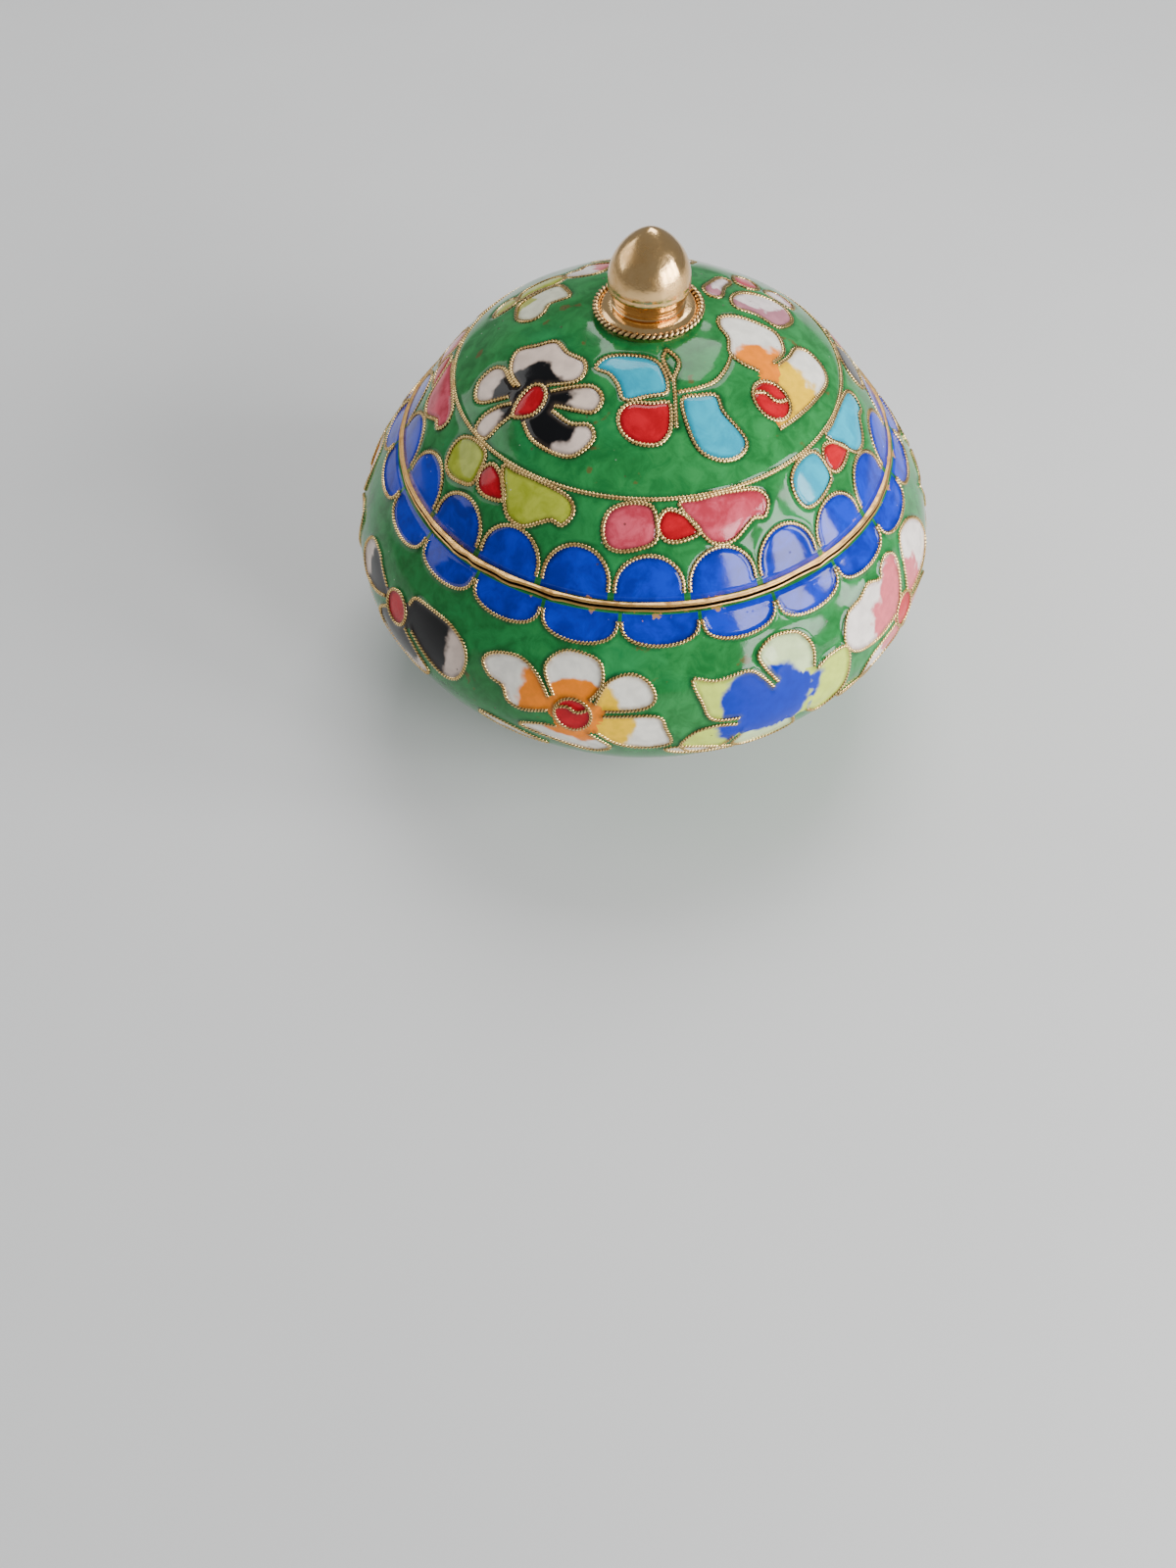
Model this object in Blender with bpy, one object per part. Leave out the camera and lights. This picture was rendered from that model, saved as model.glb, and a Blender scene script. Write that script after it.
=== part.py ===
"""A small round cloisonné enamel box with a domed lid and a turned brass knob.

Units are metres and degrees. The origin is the bottom centre of the foot, +Z is up.
Azimuth 0 faces -Y and grows towards +X.
"""

from math import acos, atan2, ceil, cos, hypot, pi, radians, sin

import bmesh
import bpy
import numpy as np
from mathutils import Vector
from mathutils.geometry import delaunay_2d_cdt

MM = 0.001

# Heights
SEAM_Z = 28.2 * MM
KNOB_TIP_Z = 49.2 * MM
FOOT_TOP_Z = 2.4 * MM
GAP = 0.3 * MM

# Brass rims at the seam
RIM_RADIUS = 24.4 * MM
RIM_HEIGHT = 0.45 * MM
RIM_ROUNDING = 0.15 * MM
RIM_WIDTH = 2.1 * MM
LIP_THICKNESS = 0.7 * MM
LIP_HEIGHT = 0.7 * MM

# Foot ring
FOOT_OUTER_RADIUS = 14.0 * MM
FOOT_WALL = 1.5 * MM
FOOT_FLARE = 0.5 * MM

# Collar of wire and knob
COLLAR_RADIUS = 4.75 * MM
COLLAR_WIRE_RADIUS = 0.4 * MM
COLLAR_Z = 42.0 * MM
KNOB_SEAT_RADIUS = 3.95 * MM
KNOB_FLANGE_RADIUS = 4.05 * MM
KNOB_FLANGE_Z = 42.0 * MM
KNOB_FLANGE_HEIGHT = 0.4 * MM
KNOB_ROUNDING = 0.15 * MM
KNOB_NECK_RADIUS = 3.1 * MM
KNOB_NECK_HEIGHT = 0.2 * MM
KNOB_BALL_RADIUS = 3.7 * MM
KNOB_TOP_POWER = 0.68
KNOB_TOP_STEPS = 6
KNOB_BALL_STEPS = 3

# Outer profiles as radius and height, bottom to top
BOWL_TOP_Z = SEAM_Z - GAP / 2 - RIM_HEIGHT - GAP
LID_BOTTOM_Z = SEAM_Z + GAP / 2 + RIM_HEIGHT + GAP
BOWL_PROFILE = (
    (FOOT_OUTER_RADIUS - 0.2 * MM, FOOT_TOP_Z + GAP),
    (18.6 * MM, 3.2 * MM),
    (22.6 * MM, 5.2 * MM),
    (27.2 * MM, 10.2 * MM),
    (29.4 * MM, 14.4 * MM),
    (29.85 * MM, 17.9 * MM),
    (28.5 * MM, 22.2 * MM),
    (RIM_RADIUS + 1.9 * MM, 25.6 * MM),
    (RIM_RADIUS + 0.5 * MM, BOWL_TOP_Z),
)
LID_PROFILE = (
    (RIM_RADIUS - 0.85 * MM, LID_BOTTOM_Z),
    (RIM_RADIUS - 2.8 * MM, 31.8 * MM),
    (RIM_RADIUS - 6.1 * MM, 35.4 * MM),
    (RIM_RADIUS - 11.2 * MM, 38.7 * MM),
    (COLLAR_RADIUS + 3.65 * MM, 40.6 * MM),
    (COLLAR_RADIUS + 0.65 * MM, 41.2 * MM),
)
BOWL_WALL = 1.5 * MM
LID_WALL = 1.3 * MM
UNDERSIDE_Z = FOOT_TOP_Z + GAP
LID_TOP_Z = 41.3 * MM
POLE_RADIUS = 2.0 * MM

# Wires of the picture, as low ridges
WIRE_HALF_WIDTH = 0.3 * MM
WIRE_RISE = 0.3 * MM
WIRE_STEP = 2.9 * MM
SCALLOP_STEPS = 4
CLEAR_OF_WIRE = 1.3 * MM
SCALLOPS = 22
SCALLOP_FOOT_GAP = 1.1
BOWL_SCALLOP_DEPTH = 2.2 * MM
BOWL_SCALLOP_TURN = 8.9
LID_SCALLOP_DEPTH = 3.5 * MM
LID_SCALLOP_TURN = 6.6
SCALLOP_INSET = 0.35 * MM
LID_RING_RADIUS = RIM_RADIUS - 6.1 * MM

# Facets and welding
SHELL_SEGMENTS = 44
INSIDE_SEGMENTS = 32
RING_SEGMENTS = 36
KNOB_SEGMENTS = 20
COLLAR_SEGMENTS = 20
COLLAR_SIDES = 5
BUD_CORNERS = 6
CURVE_STEPS = 3
SHARP_ANGLE = 40.0
WELD_DISTANCE = 0.02 * MM

# Outlines on the lid, in millimetres seen from above, +Y away from the front
TEAL_LEAF_LEFT = (
    (-4.9, -7.0), (-3.9, -6.0), (-1.9, -6.0), (0.2, -6.7), (1.1, -8.2),
    (1.2, -9.9), (-0.5, -10.3), (-2.5, -10.5), (-3.0, -9.1), (-3.7, -7.9),
)
RED_BUD = (
    (-3.1, -12.3), (-2.8, -11.3), (-1.8, -10.8), (-0.2, -10.95), (1.3, -10.9),
    (1.5, -12.3), (1.2, -13.6), (0.1, -14.4), (-1.6, -14.2), (-2.7, -13.4),
)
TEAL_LEAF_RIGHT = (
    (2.5, -10.6), (3.9, -10.1), (5.5, -9.9), (6.1, -11.3), (8.0, -13.2),
    (7.4, -14.6), (5.7, -15.2), (3.9, -14.7), (2.9, -12.9),
)
STEM = ((1.3, -5.4), (2.4, -6.9), (1.9, -8.6), (1.9, -10.4), (1.9, -13.0))
TENDRIL = ((2.2, -9.9), (3.9, -9.4), (5.5, -8.5), (6.6, -6.9), (7.1, -5.5))
STEM_LEAF = ((1.3, -5.6), (1.0, -6.5), (1.3, -7.7), (1.75, -8.8))
BLACK_FLOWER_CENTRE = (-10.8, -8.6)
BLACK_FLOWER_BUD = (
    (1.75, 0.1), (1.3, 1.3), (0.1, 1.6), (-1.1, 0.9), (-1.9, -0.9), (-0.8, -1.5), (0.9, -1.4),
)
BLACK_FLOWER = (
    ((-1.0, 2.0), (-1.8, 4.2), (-1.2, 6.2), (0.6, 6.0), (2.4, 5.7), (3.4, 4.0),
     (4.9, 2.5), (4.8, 1.1), (3.7, 0.6), (1.6, 1.0)),
    ((1.9, 0.3), (4.2, 0.1), (5.7, -0.3), (6.4, -1.6), (5.6, -2.6), (4.2, -2.2),
     (2.2, -1.2)),
    ((2.0, -1.6), (3.5, -3.1), (5.1, -3.6), (5.6, -4.6), (4.9, -5.4), (3.5, -5.8),
     (1.8, -5.0), (0.1, -3.4), (-0.6, -1.7)),
    ((-1.7, -0.6), (-2.9, -1.0), (-4.1, -1.5), (-5.1, -0.3), (-4.4, 0.7), (-2.9, 0.9),
     (-1.7, 0.6)),
    ((-2.0, 1.4), (-4.3, 2.1), (-5.1, 3.2), (-4.8, 4.8), (-3.5, 5.5), (-2.4, 4.8),
     (-1.9, 3.3), (-1.4, 2.2)),
)
HALF_FLOWER = (
    ((11.0, -5.0), (12.2, -3.1), (11.9, -1.0), (10.6, -0.3), (8.2, 0.0), (6.5, -0.6),
     (6.3, -1.9), (7.0, -3.4), (7.0, -5.1), (8.0, -6.0), (9.6, -6.4)),
    ((11.5, -5.0), (12.7, -3.4), (13.5, -1.8), (14.8, -1.3), (16.2, -2.5), (16.3, -4.4),
     (14.8, -7.2), (12.9, -9.7), (11.2, -11.4)),
)
HALF_FLOWER_BUD = (10.6, -9.0)
BUD_RADIUS = 1.75
BUD_LINE = ((-1.6, 0.2), (-0.6, 0.5), (0.2, 0.1), (0.9, 0.2), (1.6, 0.7))
RIGHT_FLOWER = (
    ((6.0, 5.4), (5.3, 4.1), (5.8, 2.8), (6.9, 2.9), (7.4, 5.0), (8.2, 6.8), (7.2, 7.4)),
    ((7.9, 3.2), (8.1, 1.5), (10.0, 1.2), (11.8, 0.4), (13.0, 1.3), (13.8, 3.1),
     (13.2, 5.0), (11.3, 5.6), (9.2, 5.0)),
    ((11.6, 7.4), (12.2, 6.2), (14.0, 5.7), (14.5, 7.4), (13.0, 8.9)),
    ((8.7, 7.2), (8.8, 9.2), (10.4, 9.6), (11.0, 7.4), (9.8, 6.5)),
)
LEFT_FLOWER = (
    ((-11.9, 5.6), (-12.2, 4.1), (-12.0, 2.4), (-10.8, 1.4), (-9.6, 1.9), (-9.0, 3.2),
     (-7.2, 3.5), (-7.3, 5.0), (-8.2, 6.8), (-10.4, 6.5)),
    ((-11.9, 6.6), (-11.9, 8.5), (-10.7, 9.7), (-8.8, 10.0), (-7.5, 8.8), (-8.4, 7.3),
     (-10.4, 7.1)),
    ((-14.3, 5.5), (-14.3, 7.0), (-13.2, 8.3), (-12.3, 7.9), (-12.4, 6.2)),
    ((-16.1, -1.2), (-15.5, -2.6), (-14.6, -2.8), (-13.8, -1.7), (-13.6, -0.1),
     (-12.9, 1.4), (-12.8, 3.8), (-13.6, 4.9), (-15.0, 5.0), (-16.0, 2.5)),
)
BACK_FLOWER_CENTRE = (-1.2, 10.6)
BACK_FLOWER_SCALE = 0.7

# One leaf pair of the lid's band: degrees from its bud, millimetres in from the rim
LEAF_PAIRS = 7
LEAF_PAIR_TURN = 5.5
PAIR_LEFT_LEAF = (
    (-18.7, 4.1), (-17.7, 5.0), (-13.2, 5.5), (-7.0, 5.4), (-5.4, 4.6), (-6.0, 3.6),
    (-12.3, 3.2), (-16.7, 3.3),
)
PAIR_BUD = ((-5.2, 4.4), (-3.0, 5.2), (1.5, 4.9), (5.2, 4.0), (0.5, 3.6), (-3.3, 3.7))
PAIR_RIGHT_LEAF = (
    (0.6, 5.4), (6.2, 5.6), (16.3, 5.6), (22.7, 5.1), (24.4, 4.0), (21.7, 3.4),
    (18.0, 3.9), (14.5, 3.4), (10.9, 3.2), (7.4, 3.7),
)

# Flowers of the bowl, in millimetres about their centres, seen from outside
OPEN_FLOWER = (
    ((-1.9, 1.4), (-2.9, 4.0), (-1.5, 5.8), (0.4, 6.0), (2.1, 5.3), (2.5, 3.2), (1.5, 1.5)),
    ((-2.4, 1.1), (-3.7, 3.2), (-5.5, 4.2), (-8.0, 3.7), (-9.2, 2.5), (-8.4, 1.2),
     (-7.0, 0.7), (-6.4, -0.7), (-4.8, -1.1), (-2.4, -0.4)),
    ((2.0, 1.2), (3.0, 3.6), (4.9, 4.5), (6.6, 3.8), (7.4, 2.2), (6.4, 1.1), (3.0, 0.6)),
    ((2.8, 0.0), (7.6, 0.3), (8.7, -1.2), (9.2, -3.3), (6.8, -4.1), (4.4, -3.6), (2.3, -2.0)),
    ((1.6, -2.3), (3.5, -4.2), (2.6, -5.7), (0.9, -5.8), (-2.1, -4.6), (-5.3, -3.5),
     (-3.3, -2.4), (-1.5, -2.1)),
)
OPEN_FLOWER_BUD = 1.75
BUD_SINK = -0.3
LEANING_FLOWER = (
    ((-3.3, -0.9), (-5.9, -0.4), (-6.7, 1.5), (-7.3, 4.0), (-5.2, 3.6), (-2.2, 3.9),
     (-0.9, 3.0), (0.2, 1.5)),
    ((0.7, 1.9), (-0.6, 3.9), (-0.9, 5.2), (0.7, 6.3), (3.2, 5.9), (4.6, 4.0), (4.6, 1.9)),
    ((-3.5, -1.6), (-5.7, -1.3), (-7.7, -1.9), (-8.7, -3.7), (-7.4, -5.7), (-5.0, -5.6),
     (-3.6, -3.6)),
    ((4.9, 1.5), (6.5, 2.2), (8.6, 2.0), (9.0, 0.0), (8.3, -3.0), (6.0, -4.8), (4.2, -3.4)),
    ((2.6, -3.6), (3.0, -5.6), (0.8, -6.9), (-2.0, -6.8), (-3.4, -5.2), (-2.9, -3.4)),
)
DARK_FLOWER = (
    ((1.9, 1.4), (2.4, 2.5), (4.3, 2.8), (7.3, 2.7), (9.6, 1.6), (10.4, -0.2), (9.8, -2.3),
     (8.1, -3.1), (5.8, -2.4), (3.0, -1.0)),
    ((-2.2, 0.5), (-3.8, 1.4), (-5.3, 2.2), (-7.8, 2.0), (-9.4, -0.4), (-8.0, -2.2),
     (-5.0, -1.9), (-2.3, -0.7)),
    ((-1.7, -1.4), (-3.4, -3.2), (-2.6, -5.4), (0.6, -6.4), (4.2, -5.8), (5.6, -4.2),
     (3.8, -2.6), (1.9, -1.4)),
)
SPREAD_FLOWER = (
    ((-0.8, 1.2), (0.0, 3.5), (0.5, 5.7), (-0.6, 6.6), (-2.0, 6.3), (-2.8, 5.4), (-4.5, 6.0),
     (-6.2, 5.4), (-8.4, 4.8), (-9.6, 2.5), (-8.4, 0.6), (-5.0, 0.0), (-2.0, 0.4)),
    ((1.0, 1.1), (1.4, 4.0), (2.4, 6.2), (4.0, 6.5), (6.0, 5.8), (7.9, 4.0), (8.8, 1.5),
     (7.0, 0.3), (2.0, 0.2)),
    ((2.0, -0.5), (6.5, -1.2), (7.5, -4.0), (4.5, -6.0), (1.5, -4.5), (0.6, -1.9)),
    ((-0.7, -1.8), (-1.5, -4.8), (-4.5, -6.0), (-7.0, -4.0), (-6.3, -1.5), (-2.0, -0.6)),
)
SLIVER_LEAF = ((-3.6, 0.9), (-2.0, 1.3), (0.8, 0.4), (3.4, -1.2), (0.4, -1.1), (-2.4, -0.2))
SLIVER_DROP = 14.9
SLIVER_OFFSET = -12.5

# Azimuth of each flower on the bowl, its drop below the rim and its outline
BOWL_FLOWERS = (
    (-57.2, 8.0, DARK_FLOWER), (-14.9, 9.3, OPEN_FLOWER), (21.5, 9.5, LEANING_FLOWER),
    (57.5, 9.5, SPREAD_FLOWER), (99.0, 9.5, LEANING_FLOWER), (139.0, 9.5, OPEN_FLOWER),
    (179.0, 9.5, LEANING_FLOWER), (220.0, 9.5, OPEN_FLOWER), (260.0, 9.5, LEANING_FLOWER),
)


def clear_scene():
    for thing in list(bpy.data.objects):
        bpy.data.objects.remove(thing, do_unlink=True)


def material(name, colour, roughness, metallic):
    result = bpy.data.materials.new(name)
    result.use_nodes = True
    shader = result.node_tree.nodes["Principled BSDF"]
    shader.inputs["Base Color"].default_value = (*colour, 1.0)
    shader.inputs["Roughness"].default_value = roughness
    shader.inputs["Metallic"].default_value = metallic
    return result


def finish_object(name, mesh_builder, look):
    """Turn a bmesh into a named object, faces out and smooth between sharp edges."""
    bmesh.ops.recalc_face_normals(mesh_builder, faces=mesh_builder.faces[:])
    mesh = bpy.data.meshes.new(name)
    mesh_builder.to_mesh(mesh)
    mesh_builder.free()
    mesh.materials.append(look)
    mesh.shade_smooth()
    mesh.set_sharp_from_angle(angle=radians(SHARP_ANGLE))
    piece = bpy.data.objects.new(name, mesh)
    bpy.context.scene.collection.objects.link(piece)
    return piece


def smooth_curve(points, closed, steps):
    """A Catmull-Rom curve through the points, with this many steps between two of them."""
    count = len(points)
    spans = count if closed else count - 1
    curve = []
    for i in range(spans):
        if closed:
            four = [points[(i + k) % count] for k in (-1, 0, 1, 2)]
        else:
            four = [points[min(max(i + k, 0), count - 1)] for k in (-1, 0, 1, 2)]
        a, b, c, d = (np.array(point, dtype=float) for point in four)
        for step in range(steps):
            t = step / steps
            bend = (2 * a - 5 * b + 4 * c - d) * t * t + (3 * b - a - 3 * c + d) * t ** 3
            curve.append(0.5 * (2 * b + (c - a) * t + bend))
    if not closed:
        curve.append(np.array(points[-1], dtype=float))
    return curve


def evenly_spaced(curve, closed, step):
    """The same curve with stations about one step apart."""
    points = np.array(curve + curve[:1] if closed else curve)
    lengths = np.hypot(*np.diff(points, axis=0).T)
    along = np.concatenate(([0.0], np.cumsum(lengths)))
    count = max(3 if closed else 2, ceil(along[-1] / step))
    stations = np.linspace(0.0, along[-1], count + 1)
    if closed:
        stations = stations[:-1]
    return np.column_stack([np.interp(stations, along, points[:, k]) for k in (0, 1)])


class Shell:
    """A closed shell of revolution, laid out flat as a disc to cut the wires into it."""

    def __init__(self, outer, pole_z, wall, rim_at_top):
        curve = list(outer)
        self.outer_count = len(curve)
        inner = self.inset(curve, wall)
        if not rim_at_top:
            curve, inner = curve[::-1], inner[::-1]
        rim_z = curve[-1][1]
        rim_radius = curve[-1][0] - self.rim_width(curve[-1], curve[-2], wall)
        inner = [point for point in inner if abs(point[1] - rim_z) > wall]
        path = [(POLE_RADIUS, pole_z)] + curve + [(rim_radius, rim_z)] + inner[::-1]
        path.append((POLE_RADIUS, pole_z + wall if rim_at_top else pole_z - wall))
        self.radii = np.array([point[0] for point in path])
        self.heights = np.array([point[1] for point in path])
        steps = np.hypot(np.diff(self.radii), np.diff(self.heights))
        self.along = POLE_RADIUS + np.concatenate(([0.0], np.cumsum(steps)))
        self.rim_along = self.along[self.outer_count]

    @staticmethod
    def inset(curve, wall):
        """The curve moved inwards, square to itself, by the wall's thickness."""
        points = np.array(curve)
        slope = np.gradient(points, axis=0)
        size = np.hypot(slope[:, 0], slope[:, 1])
        across = np.column_stack((slope[:, 1], -slope[:, 0])) / size[:, None]
        return [tuple(point) for point in points - wall * across]

    @staticmethod
    def rim_width(edge, before, wall):
        """How wide the wall is where it is cut level."""
        rise = abs(edge[1] - before[1])
        return wall * hypot(edge[0] - before[0], rise) / rise

    def radius(self, along):
        return np.interp(along, self.along, self.radii)

    def from_radius(self, radius):
        """The distance along the outer profile at which it has this radius, near its rim."""
        outer = slice(0, self.outer_count + 1)
        rising = np.argmax(self.radii[outer]) + 1
        return float(np.interp(radius, self.radii[:rising], self.along[:rising]))

    def point(self, azimuth, along):
        radius = self.radius(along)
        height = np.interp(along, self.along, self.heights)
        return np.array((radius * sin(azimuth), -radius * cos(azimuth), height))

    def outward(self, azimuth, along):
        ahead = self.point(azimuth, along + GAP)
        behind = self.point(azimuth, along - GAP)
        tangent = (ahead - behind) / np.linalg.norm(ahead - behind)
        sideways = np.array((cos(azimuth), sin(azimuth), 0.0))
        return np.cross(sideways, tangent)


def circle_turns(count):
    return [2 * pi * k / count for k in range(count)]


def flat(azimuth, along):
    """Place on the flat disc, in millimetres."""
    return (along / MM * sin(azimuth), -along / MM * cos(azimuth))


def wire_lines(shell, wire, closed):
    """Crest line of a wire and the two lines at its feet, as azimuth and distance along."""
    points = np.array(wire)
    if closed:
        before, after = np.roll(points, 1, axis=0), np.roll(points, -1, axis=0)
    else:
        before = np.vstack((points[:1], points[:-1]))
        after = np.vstack((points[1:], points[-1:]))
    run = after - before
    radius = shell.radius(points[:, 1])
    run = np.column_stack((run[:, 0] * radius, run[:, 1]))
    run /= np.hypot(run[:, 0], run[:, 1])[:, None]
    lines = [points]
    for side in (-1.0, 1.0):
        shift = side * WIRE_HALF_WIDTH * np.column_stack((-run[:, 1] / radius, run[:, 0]))
        lines.append(points + shift)
    return lines


def distance_to_wires(points, starts, ends):
    """Distance of each point to the nearest wire segment."""
    nearest = np.full(len(points), 1.0)
    for start, end in zip(starts, ends):
        run = end - start
        share = np.clip((points - start) @ run / max(run @ run, GAP ** 4), 0.0, 1.0)
        gap = np.linalg.norm(points - start - share[:, None] * run, axis=1)
        nearest = np.minimum(nearest, gap)
    return nearest


def enamelled_shell(name, shell, wires, look):
    """The shell with every wire raised on its outer face, as one closed body."""
    places, edges, starts, ends = [], [], [], []

    def add_line(line, closed):
        first = len(places)
        places.extend(Vector(flat(azimuth, along)) for azimuth, along in line)
        edges.extend((first + k, first + k + 1) for k in range(len(line) - 1))
        if closed:
            edges.append((first + len(line) - 1, first))

    for wire, closed in wires:
        crest, *feet = wire_lines(shell, wire, closed)
        add_line(crest, closed)
        for foot in feet:
            add_line(foot, closed)
        spots = [shell.point(azimuth, along) for azimuth, along in crest]
        starts.extend(spots if closed else spots[:-1])
        ends.extend(spots[1:] + spots[:1] if closed else spots[1:])

    turns = circle_turns(SHELL_SEGMENTS)
    inside_turns = circle_turns(INSIDE_SEGMENTS)
    corners = (0, shell.outer_count, shell.outer_count + 1, len(shell.along) - 1)
    for row, along in enumerate(shell.along):
        if row in corners:
            add_line([(turn, along) for turn in turns], True)
        elif along > shell.rim_along:
            places.extend(Vector(flat(turn, along)) for turn in inside_turns)
        else:
            ring = np.array([shell.point(turn, along) for turn in turns])
            room = distance_to_wires(ring, starts, ends)
            free = [turn for turn, gap in zip(turns, room) if gap >= CLEAR_OF_WIRE]
            places.extend(Vector(flat(turn, along)) for turn in free)

    found, _, faces, _, _, _ = delaunay_2d_cdt(places, edges, [], 0, 1e-3)
    polar = [(atan2(place.x, -place.y), place.length * MM) for place in found]
    spots = np.array([shell.point(azimuth, along) for azimuth, along in polar])
    rise = WIRE_RISE * (1.0 - distance_to_wires(spots, starts, ends) / WIRE_HALF_WIDTH)
    for k, (azimuth, along) in enumerate(polar):
        if rise[k] > 0.0 and along < shell.rim_along:
            spots[k] += rise[k] * shell.outward(azimuth, along)

    builder = bmesh.new()
    verts = [builder.verts.new(spot) for spot in spots]
    pole = POLE_RADIUS + GAP / 10
    for face in faces:
        if max(polar[k][1] for k in face) > pole:
            builder.faces.new([verts[k] for k in face])
    bmesh.ops.remove_doubles(builder, verts=builder.verts[:], dist=WELD_DISTANCE)
    bmesh.ops.dissolve_degenerate(builder, dist=WELD_DISTANCE / 2, edges=builder.edges[:])
    loose = [vert for vert in builder.verts if not vert.link_faces]
    bmesh.ops.delete(builder, geom=loose, context="VERTS")
    open_edges = [edge for edge in builder.edges if edge.is_boundary]
    bmesh.ops.holes_fill(builder, edges=open_edges, sides=0)
    bmesh.ops.triangulate(builder, faces=[f for f in builder.faces if len(f.verts) > 3])
    return finish_object(name, builder, look)


def turned(name, profile, closed, segments, look):
    """A piece of revolution from a profile of radius and height."""
    builder = bmesh.new()
    verts = [builder.verts.new((radius, 0.0, height)) for radius, height in profile]
    pairs = list(zip(verts, verts[1:]))
    if closed:
        pairs.append((verts[-1], verts[0]))
    line = [builder.edges.new(pair) for pair in pairs]
    bmesh.ops.spin(
        builder, geom=verts + line, axis=(0, 0, 1), cent=(0, 0, 0), angle=2 * pi,
        steps=segments, use_merge=True,
    )
    bmesh.ops.remove_doubles(builder, verts=builder.verts[:], dist=WELD_DISTANCE / 2)
    return finish_object(name, builder, look)


def shaped(points, closed=True):
    """A wire bent through the points, in their own units, with even stations."""
    return evenly_spaced(smooth_curve(points, closed, CURVE_STEPS), closed, WIRE_STEP / MM)


def moved(points, centre):
    return [(centre[0] + x, centre[1] + y) for x, y in points]


def round_bud(centre, radius):
    return [(centre[0] + radius * cos(t), centre[1] + radius * sin(t)) for t in circle_turns(BUD_CORNERS)]


def scallop_wires(shell, depth, turn):
    """The row of scallops along the rim, each bent from its own wire."""
    pitch = 360.0 / SCALLOPS
    half = radians(pitch / 2) - radians(SCALLOP_FOOT_GAP / 2)
    foot = shell.rim_along - SCALLOP_INSET
    wires = []
    for k in range(SCALLOPS):
        middle = radians(k * pitch + turn + pitch / 2)
        bend = [pi * step / SCALLOP_STEPS for step in range(SCALLOP_STEPS + 1)]
        wires.append(([(middle - half * cos(t), foot - depth * sin(t)) for t in bend], False))
    return wires


def lid_wires(shell):
    """Ring, scallops, flowers, leaves and tendrils of the lid."""
    ring_along = shell.from_radius(LID_RING_RADIUS)
    wires = [([(turn, ring_along) for turn in circle_turns(SHELL_SEGMENTS)], True)]
    wires += scallop_wires(shell, LID_SCALLOP_DEPTH, LID_SCALLOP_TURN)

    def lay(points, closed):
        wire = []
        for x, y in points:
            wire.append((atan2(x, -y), shell.from_radius(hypot(x, y) * MM)))
        wires.append((unwound(wire), closed))

    for outline in (TEAL_LEAF_LEFT, RED_BUD, TEAL_LEAF_RIGHT):
        lay(shaped(outline), True)
    for line in (STEM, STEM_LEAF, TENDRIL, *HALF_FLOWER):
        lay(shaped(line, False), False)
    lay(round_bud(HALF_FLOWER_BUD, BUD_RADIUS), True)
    lay(shaped(moved(BUD_LINE, HALF_FLOWER_BUD), False), False)
    for outline in (*RIGHT_FLOWER, *LEFT_FLOWER):
        lay(shaped(outline), True)
    lay(shaped(moved(BLACK_FLOWER_BUD, BLACK_FLOWER_CENTRE)), True)
    for petal in BLACK_FLOWER:
        lay(shaped(moved(petal, BLACK_FLOWER_CENTRE), False), False)
    lay(round_bud(BACK_FLOWER_CENTRE, BUD_RADIUS), True)
    for petal in OPEN_FLOWER:
        small = [(BACK_FLOWER_SCALE * x, -BACK_FLOWER_SCALE * y) for x, y in petal]
        lay(shaped(moved(small, BACK_FLOWER_CENTRE), False), False)

    for k in range(LEAF_PAIRS):
        middle = LEAF_PAIR_TURN + k * 360.0 / LEAF_PAIRS
        for outline in (PAIR_LEFT_LEAF, PAIR_BUD, PAIR_RIGHT_LEAF):
            flat_points = []
            for turn, inward in outline:
                azimuth = radians(middle + turn)
                radius = RIM_RADIUS / MM - inward
                flat_points.append((radius * sin(azimuth), -radius * cos(azimuth)))
            lay(shaped(flat_points), True)
    return wires


def bowl_wires(shell):
    """Scallops, flowers and small leaves of the bowl."""
    wires = scallop_wires(shell, BOWL_SCALLOP_DEPTH, BOWL_SCALLOP_TURN)

    def lay(points, middle, drop, closed):
        along = shell.rim_along - drop * MM
        wire = []
        for x, y in points:
            there = along + y * MM
            wire.append((radians(middle) + x * MM / shell.radius(there), there))
        wires.append((wire, closed))

    for middle, drop, flower in BOWL_FLOWERS:
        for petal in flower:
            lay(shaped(petal, False), middle, drop, False)
        if flower is not LEANING_FLOWER:
            lay(round_bud((0.0, BUD_SINK), OPEN_FLOWER_BUD), middle, drop, True)
        lay(shaped(SLIVER_LEAF), middle + SLIVER_OFFSET, SLIVER_DROP, True)
    return wires


def unwound(wire):
    """The wire with its azimuths free of the jump at the back."""
    azimuths = np.unwrap([azimuth for azimuth, _ in wire])
    return [(azimuth, along) for azimuth, (_, along) in zip(azimuths, wire)]


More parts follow.
